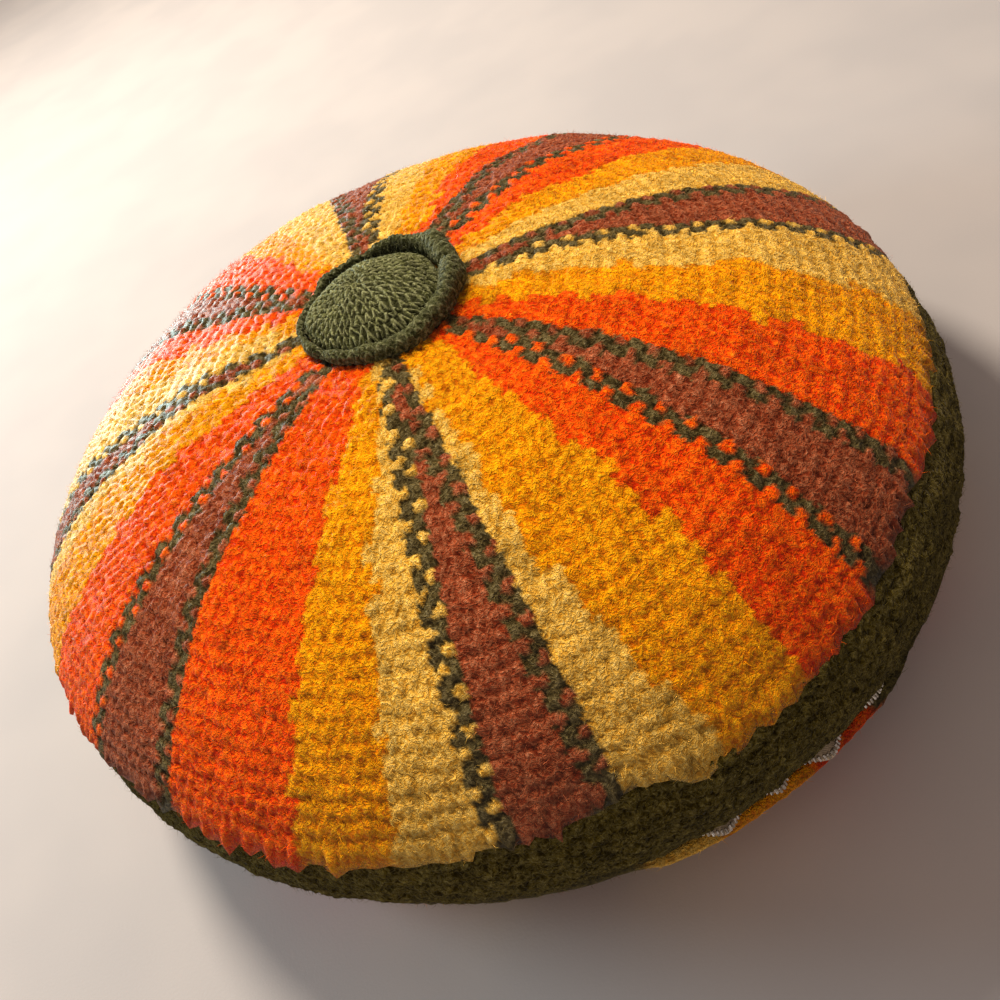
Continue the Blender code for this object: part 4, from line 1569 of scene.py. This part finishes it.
@dataclass
class Zip:
    """The stretch of zip that shows between band and back."""

    gap_above: float = 1.0 * MM
    gap_below: float = 3.2 * MM
    tape: float = 0.8 * MM
    hidden: float = 9 * MM
    out: float = 8.0 * MM
    fold: float = 0.7
    fold_drop: float = 0.15 * MM
    tuck: Pair = (1.5 * MM, 0.4 * MM)
    clear_above: float = 0.3
    clear_below: float = 1.5
    reach: float = 0.8
    stations: int = 96
    tooth_pitch: float = 2.5 * MM
    tooth: float = 1.9 * MM
    tooth_share: float = 0.36
    depth: float = 1.1 * MM
    stagger: float = 0.3 * MM
    bevel: float = 0.22 * MM

    def section(self, angle: Array) -> tuple[Array, Array]:
        """Radius and height of the tape's line at each angle, seven points each."""
        share = FORM.zip_share(angle)
        behind = FORM.seam_radius - FORM.thickness - 2 * FORM.gap - self.tape / 2
        seam, half = FORM.back_seam_height, self.tape / 2
        top = seam + self.gap_above * share - self.clear_above * FORM.gap - half
        low = seam - self.gap_below * share + self.clear_below * FORM.gap + half
        bow = self.out * bump_sum(BOWS, angle) * share
        still = np.full_like(share, behind)
        radii = [still, still, still, behind + self.fold * bow, behind + bow, behind + self.fold * bow]
        radii.append(still - self.tuck[0])
        heights = [top + self.hidden, top + 0.5 * self.hidden, top, top - self.fold_drop]
        heights += [(top + low) / 2, low + self.fold_drop, low + self.tuck[1]]
        return np.stack(radii, 1), np.stack(heights, 1)

    def build_tape(self, finish: bpy.types.Material) -> bpy.types.Object:
        """Make the cotton tape.

        Args:
            finish: the cotton.

        Returns:
            The piece.
        """
        bm = bmesh.new()
        bmesh.ops.create_grid(bm, x_segments=self.stations, y_segments=24, size=0.5)
        half = FORM.zip_half_arc * self.reach
        share = np.array([vert.co.x for vert in bm.verts]) + 0.5
        down = (np.array([vert.co.y for vert in bm.verts]) + 0.5) * 6
        angle = FORM.zip_angle - half + 2 * half * share
        radii, heights = self.section(angle)
        low = np.minimum(np.floor(down).astype(int), 5)
        part = down - low
        pick = np.arange(len(low))
        radius = radii[pick, low] * (1 - part) + radii[pick, low + 1] * part
        height = heights[pick, low] * (1 - part) + heights[pick, low + 1] * part
        for vert, point in zip(bm.verts, FORM.bend(radius, angle, height)):
            vert.co = point
        bmesh.ops.recalc_face_normals(bm, faces=bm.faces)
        mesh = new_mesh("zip_cotton_tape", bm)
        mesh.shade_smooth()
        piece = show("zip_cotton_tape", mesh, finish)
        wall = piece.modifiers.new("thickness", "SOLIDIFY")
        wall.thickness = self.tape
        wall.offset = 0.0
        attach(piece, "root")
        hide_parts("zip_tape")
        return piece

    def build_teeth(self, finish: bpy.types.Material) -> bpy.types.Object:
        """Make the closed teeth, one by one, gripped on the tape's crest.

        Args:
            finish: the metal.

        Returns:
            The piece.
        """
        half = FORM.zip_half_arc * self.reach
        pitch = math.degrees(self.tooth_pitch / 2 / FORM.seam_radius)
        angles = np.arange(FORM.zip_angle - half + pitch, FORM.zip_angle + half - pitch, pitch)
        radii, heights = self.section(angles)
        run, drop = radii[:, 4] - radii[:, 3], heights[:, 3] - heights[:, 4]
        tilts = np.arctan2(drop, run)
        down = 1 - 0.5 * np.clip(run / ((1 - self.fold) * self.out), 0, 1)
        off = self.tape / 2 + FORM.gap + self.depth / 2
        places = radii[:, 3] + down * run + off * np.sin(tilts)
        levels = heights[:, 3] - down * drop + off * np.cos(tilts)
        bm = bmesh.new()
        for index, (angle, radius, height, tilt) in enumerate(zip(angles, places, levels, tilts)):
            level = height + (self.stagger if index % 2 else -self.stagger)
            middle = FORM.bend(radius, angle, level)
            ahead = FORM.bend(radius, angle + pitch, level) - middle
            turn = math.atan2(ahead[1], ahead[0])
            size = Matrix.Diagonal((self.tooth_pitch * self.tooth_share, self.tooth, self.depth, 1.0))
            stand = Matrix.Translation(Vector(middle)) @ Matrix.Rotation(turn, 4, "Z")
            stand = stand @ Matrix.Rotation(tilt, 4, "X") @ size
            cube = bmesh.ops.create_cube(bm, size=1.0, matrix=stand)
            edges = list({edge for vert in cube["verts"] for edge in vert.link_edges})
            rounding = {"segments": 1, "profile": 0.5, "affect": "EDGES", "material": -1}
            bmesh.ops.bevel(bm, geom=edges, offset=self.bevel, **rounding)
        piece = show("zip_metal_teeth", new_mesh("zip_metal_teeth", bm), finish)
        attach(piece, "root")
        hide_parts("zip_teeth")
        return piece


@dataclass(frozen=True)
class Lamp:
    """A soft round lamp that faces the cushion, and what it lights."""

    name: str
    place: tuple[float, float, float]
    width: float
    watts: float
    colour: tuple[float, float, float]
    in_diffuse: bool = True
    in_gloss: bool = True
    cushion_alone: bool = False
    aim: tuple[float, float, float] = (0.0, 0.0, 0.07)

    def hang(self) -> bpy.types.Object:
        """Hang the lamp and turn it to the cushion."""
        data = bpy.data.lights.new(self.name, "AREA")
        data.shape = "DISK"
        data.size = self.width
        data.energy = self.watts
        data.color = self.colour
        lamp = bpy.data.objects.new(self.name, data)
        lamp.location = self.place
        way = Vector(self.aim) - Vector(self.place)
        lamp.rotation_euler = way.to_track_quat("-Z", "Y").to_euler()
        lamp.visible_diffuse = self.in_diffuse
        lamp.visible_glossy = self.in_gloss
        bpy.context.scene.collection.objects.link(lamp)
        return lamp


WARM, COOL, AMBER = (1.0, 0.86, 0.70), (0.78, 0.96, 1.0), (1.0, 0.82, 0.62)
HONEY, ICE = (1.0, 0.86, 0.66), (0.74, 1.0, 0.98)
# The glow stands low behind the cushion and shows only as the pale haze on the wool's edge.
LAMPS = (
    Lamp("key", (-0.38, 1.0, 1.15), 0.35, 20.5, WARM, in_gloss=False),
    Lamp("window", (-1.25, 0.6, 0.5), 0.6, 9.0, COOL, in_gloss=False),
    Lamp("above", (0.12, 0.42, 1.30), 0.4, 24.0, AMBER, in_gloss=False, cushion_alone=True),
    Lamp("room", (-0.5, -1.2, 0.6), 0.8, 3.0, HONEY, cushion_alone=True),
    Lamp("glow", (-0.62, 1.26, 0.14), 0.5, 100.0, ICE, in_diffuse=False, cushion_alone=True),
)
# The camera's place and turn, from the fit of the cushion's outline to the photo.
CAMERA = (
    (0.88327, 0.46886, 0.0, 0.0016955),
    (-0.32538, 0.61297, -0.72000, -0.336625),
    (-0.33758, 0.63595, 0.69398, 0.341668),
    (0.0, 0.0, 0.0, 1.0),
)


@dataclass(frozen=True)
class Studio:
    """Floor, lights and the camera at the photo's angle."""

    floor_size: float = 9.0
    floor_shade: Colour = (0.73, 0.71, 0.72, 1.0)
    floor_pale: Colour = (0.79, 0.76, 0.76, 1.0)
    floor_grain: float = 1.1 * MM
    floor_patch: float = 90 * MM
    floor_relief: float = 0.12 * MM
    floor_roughness: float = 0.8
    lens: float = 36.468
    sensor: float = 36.0
    room_colour: Colour = (1.0, 0.78, 0.66, 1.0)
    room_strength: float = 0.25

    def floor(self) -> None:
        """Lay a plain pale floor with a faint cloth grain."""
        bm = bmesh.new()
        bmesh.ops.create_grid(bm, x_segments=1, y_segments=1, size=self.floor_size / 2)
        bench = Bench("pale_floor")
        grain = bench.noise(self.floor_grain, 2.0)
        broad = bench.noise(self.floor_patch, 2.0)
        base = bench.mixed(bench.ranged(broad, 0.3, 0.7), self.floor_shade, self.floor_pale)
        links = {"Base Color": base, "Normal": bench.bump(grain, self.floor_relief, 0.5)}
        material = bench.finish(links, {"Roughness": self.floor_roughness})
        show("pale_floor", new_mesh("pale_floor", bm), material)

    def camera(self) -> None:
        """Put the camera where the photo was taken from."""
        data = bpy.data.cameras.new("photo_camera")
        data.lens = self.lens
        data.sensor_width = self.sensor
        camera = bpy.data.objects.new("photo_camera", data)
        bpy.context.scene.collection.objects.link(camera)
        camera.matrix_world = Matrix(CAMERA)
        bpy.context.scene.camera = camera

    def lights(self, lit: Sequence[bpy.types.Object]) -> None:
        """Hang the lamps and set the pale surroundings.

        Args:
            lit: the cushion's pieces, which some of the lamps light alone.
        """
        receivers = bpy.data.collections.new("lit_alone")
        for piece in lit:
            receivers.objects.link(piece)
        for plan in LAMPS:
            lamp = plan.hang()
            if plan.cushion_alone:
                lamp.light_linking.receiver_collection = receivers
        world = bpy.data.worlds.new("soft_room")
        world.use_nodes = True
        background = world.node_tree.nodes["Background"]
        background.inputs["Color"].default_value = self.room_colour
        background.inputs["Strength"].default_value = self.room_strength
        bpy.context.scene.world = world


def main() -> None:
    """Build every piece in order and report it."""
    logging.basicConfig(level=logging.INFO, format="%(message)s")
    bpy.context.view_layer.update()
    bpy.context.scene.view_settings.view_transform = "Standard"
    wools = (
        WoolFinish("striped_wool"),
        WoolFinish("green_wool", hollow_shade=0.25, haze=0.0),
        WoolFinish("green_button_wool", 2.0 * MM, hollow_shade=0.75, relief=0.5 * MM, haze=0.15),
    )
    striped, green, fine = (wool.make() for wool in wools)
    button = Button()
    zipper = Zip()
    studio = Studio()
    made = [
        FrontCover().build(striped),
        Band().build(green),
        BackCover().build(striped),
        button.build_pad(fine),
        button.build_rim(fine),
        zipper.build_tape(TapeFinish().make()),
        zipper.build_teeth(MetalFinish().make()),
    ]
    fibre = FibreFinish().make()
    fuzzes = [
        (made[0], Fuzz("front_fibres", 0.10, SEED + 50, "striped_wool")),
        (made[1], Fuzz("band_fibres", 0.13, SEED + 60, "green_wool")),
        (made[2], Fuzz("back_fibres", 0.07, SEED + 70, "striped_wool_back")),
        (made[3], Fuzz("dome_fibres", 0.2, SEED + 80, "green_button_wool", length=1.8 * MM)),
        (made[4], Fuzz("roll_fibres", 0.2, SEED + 90, "green_button_wool", length=1.8 * MM)),
    ]
    made += [fuzz.grow(ground, fibre) for ground, fuzz in fuzzes]
    studio.floor()
    studio.camera()
    studio.lights(made)
    for piece in made:
        faces = sum(len(face.vertices) - 2 for face in piece.data.polygons)
        LOG.info("%s: %d triangles", piece.name, faces)


if __name__ == "__main__":
    main()
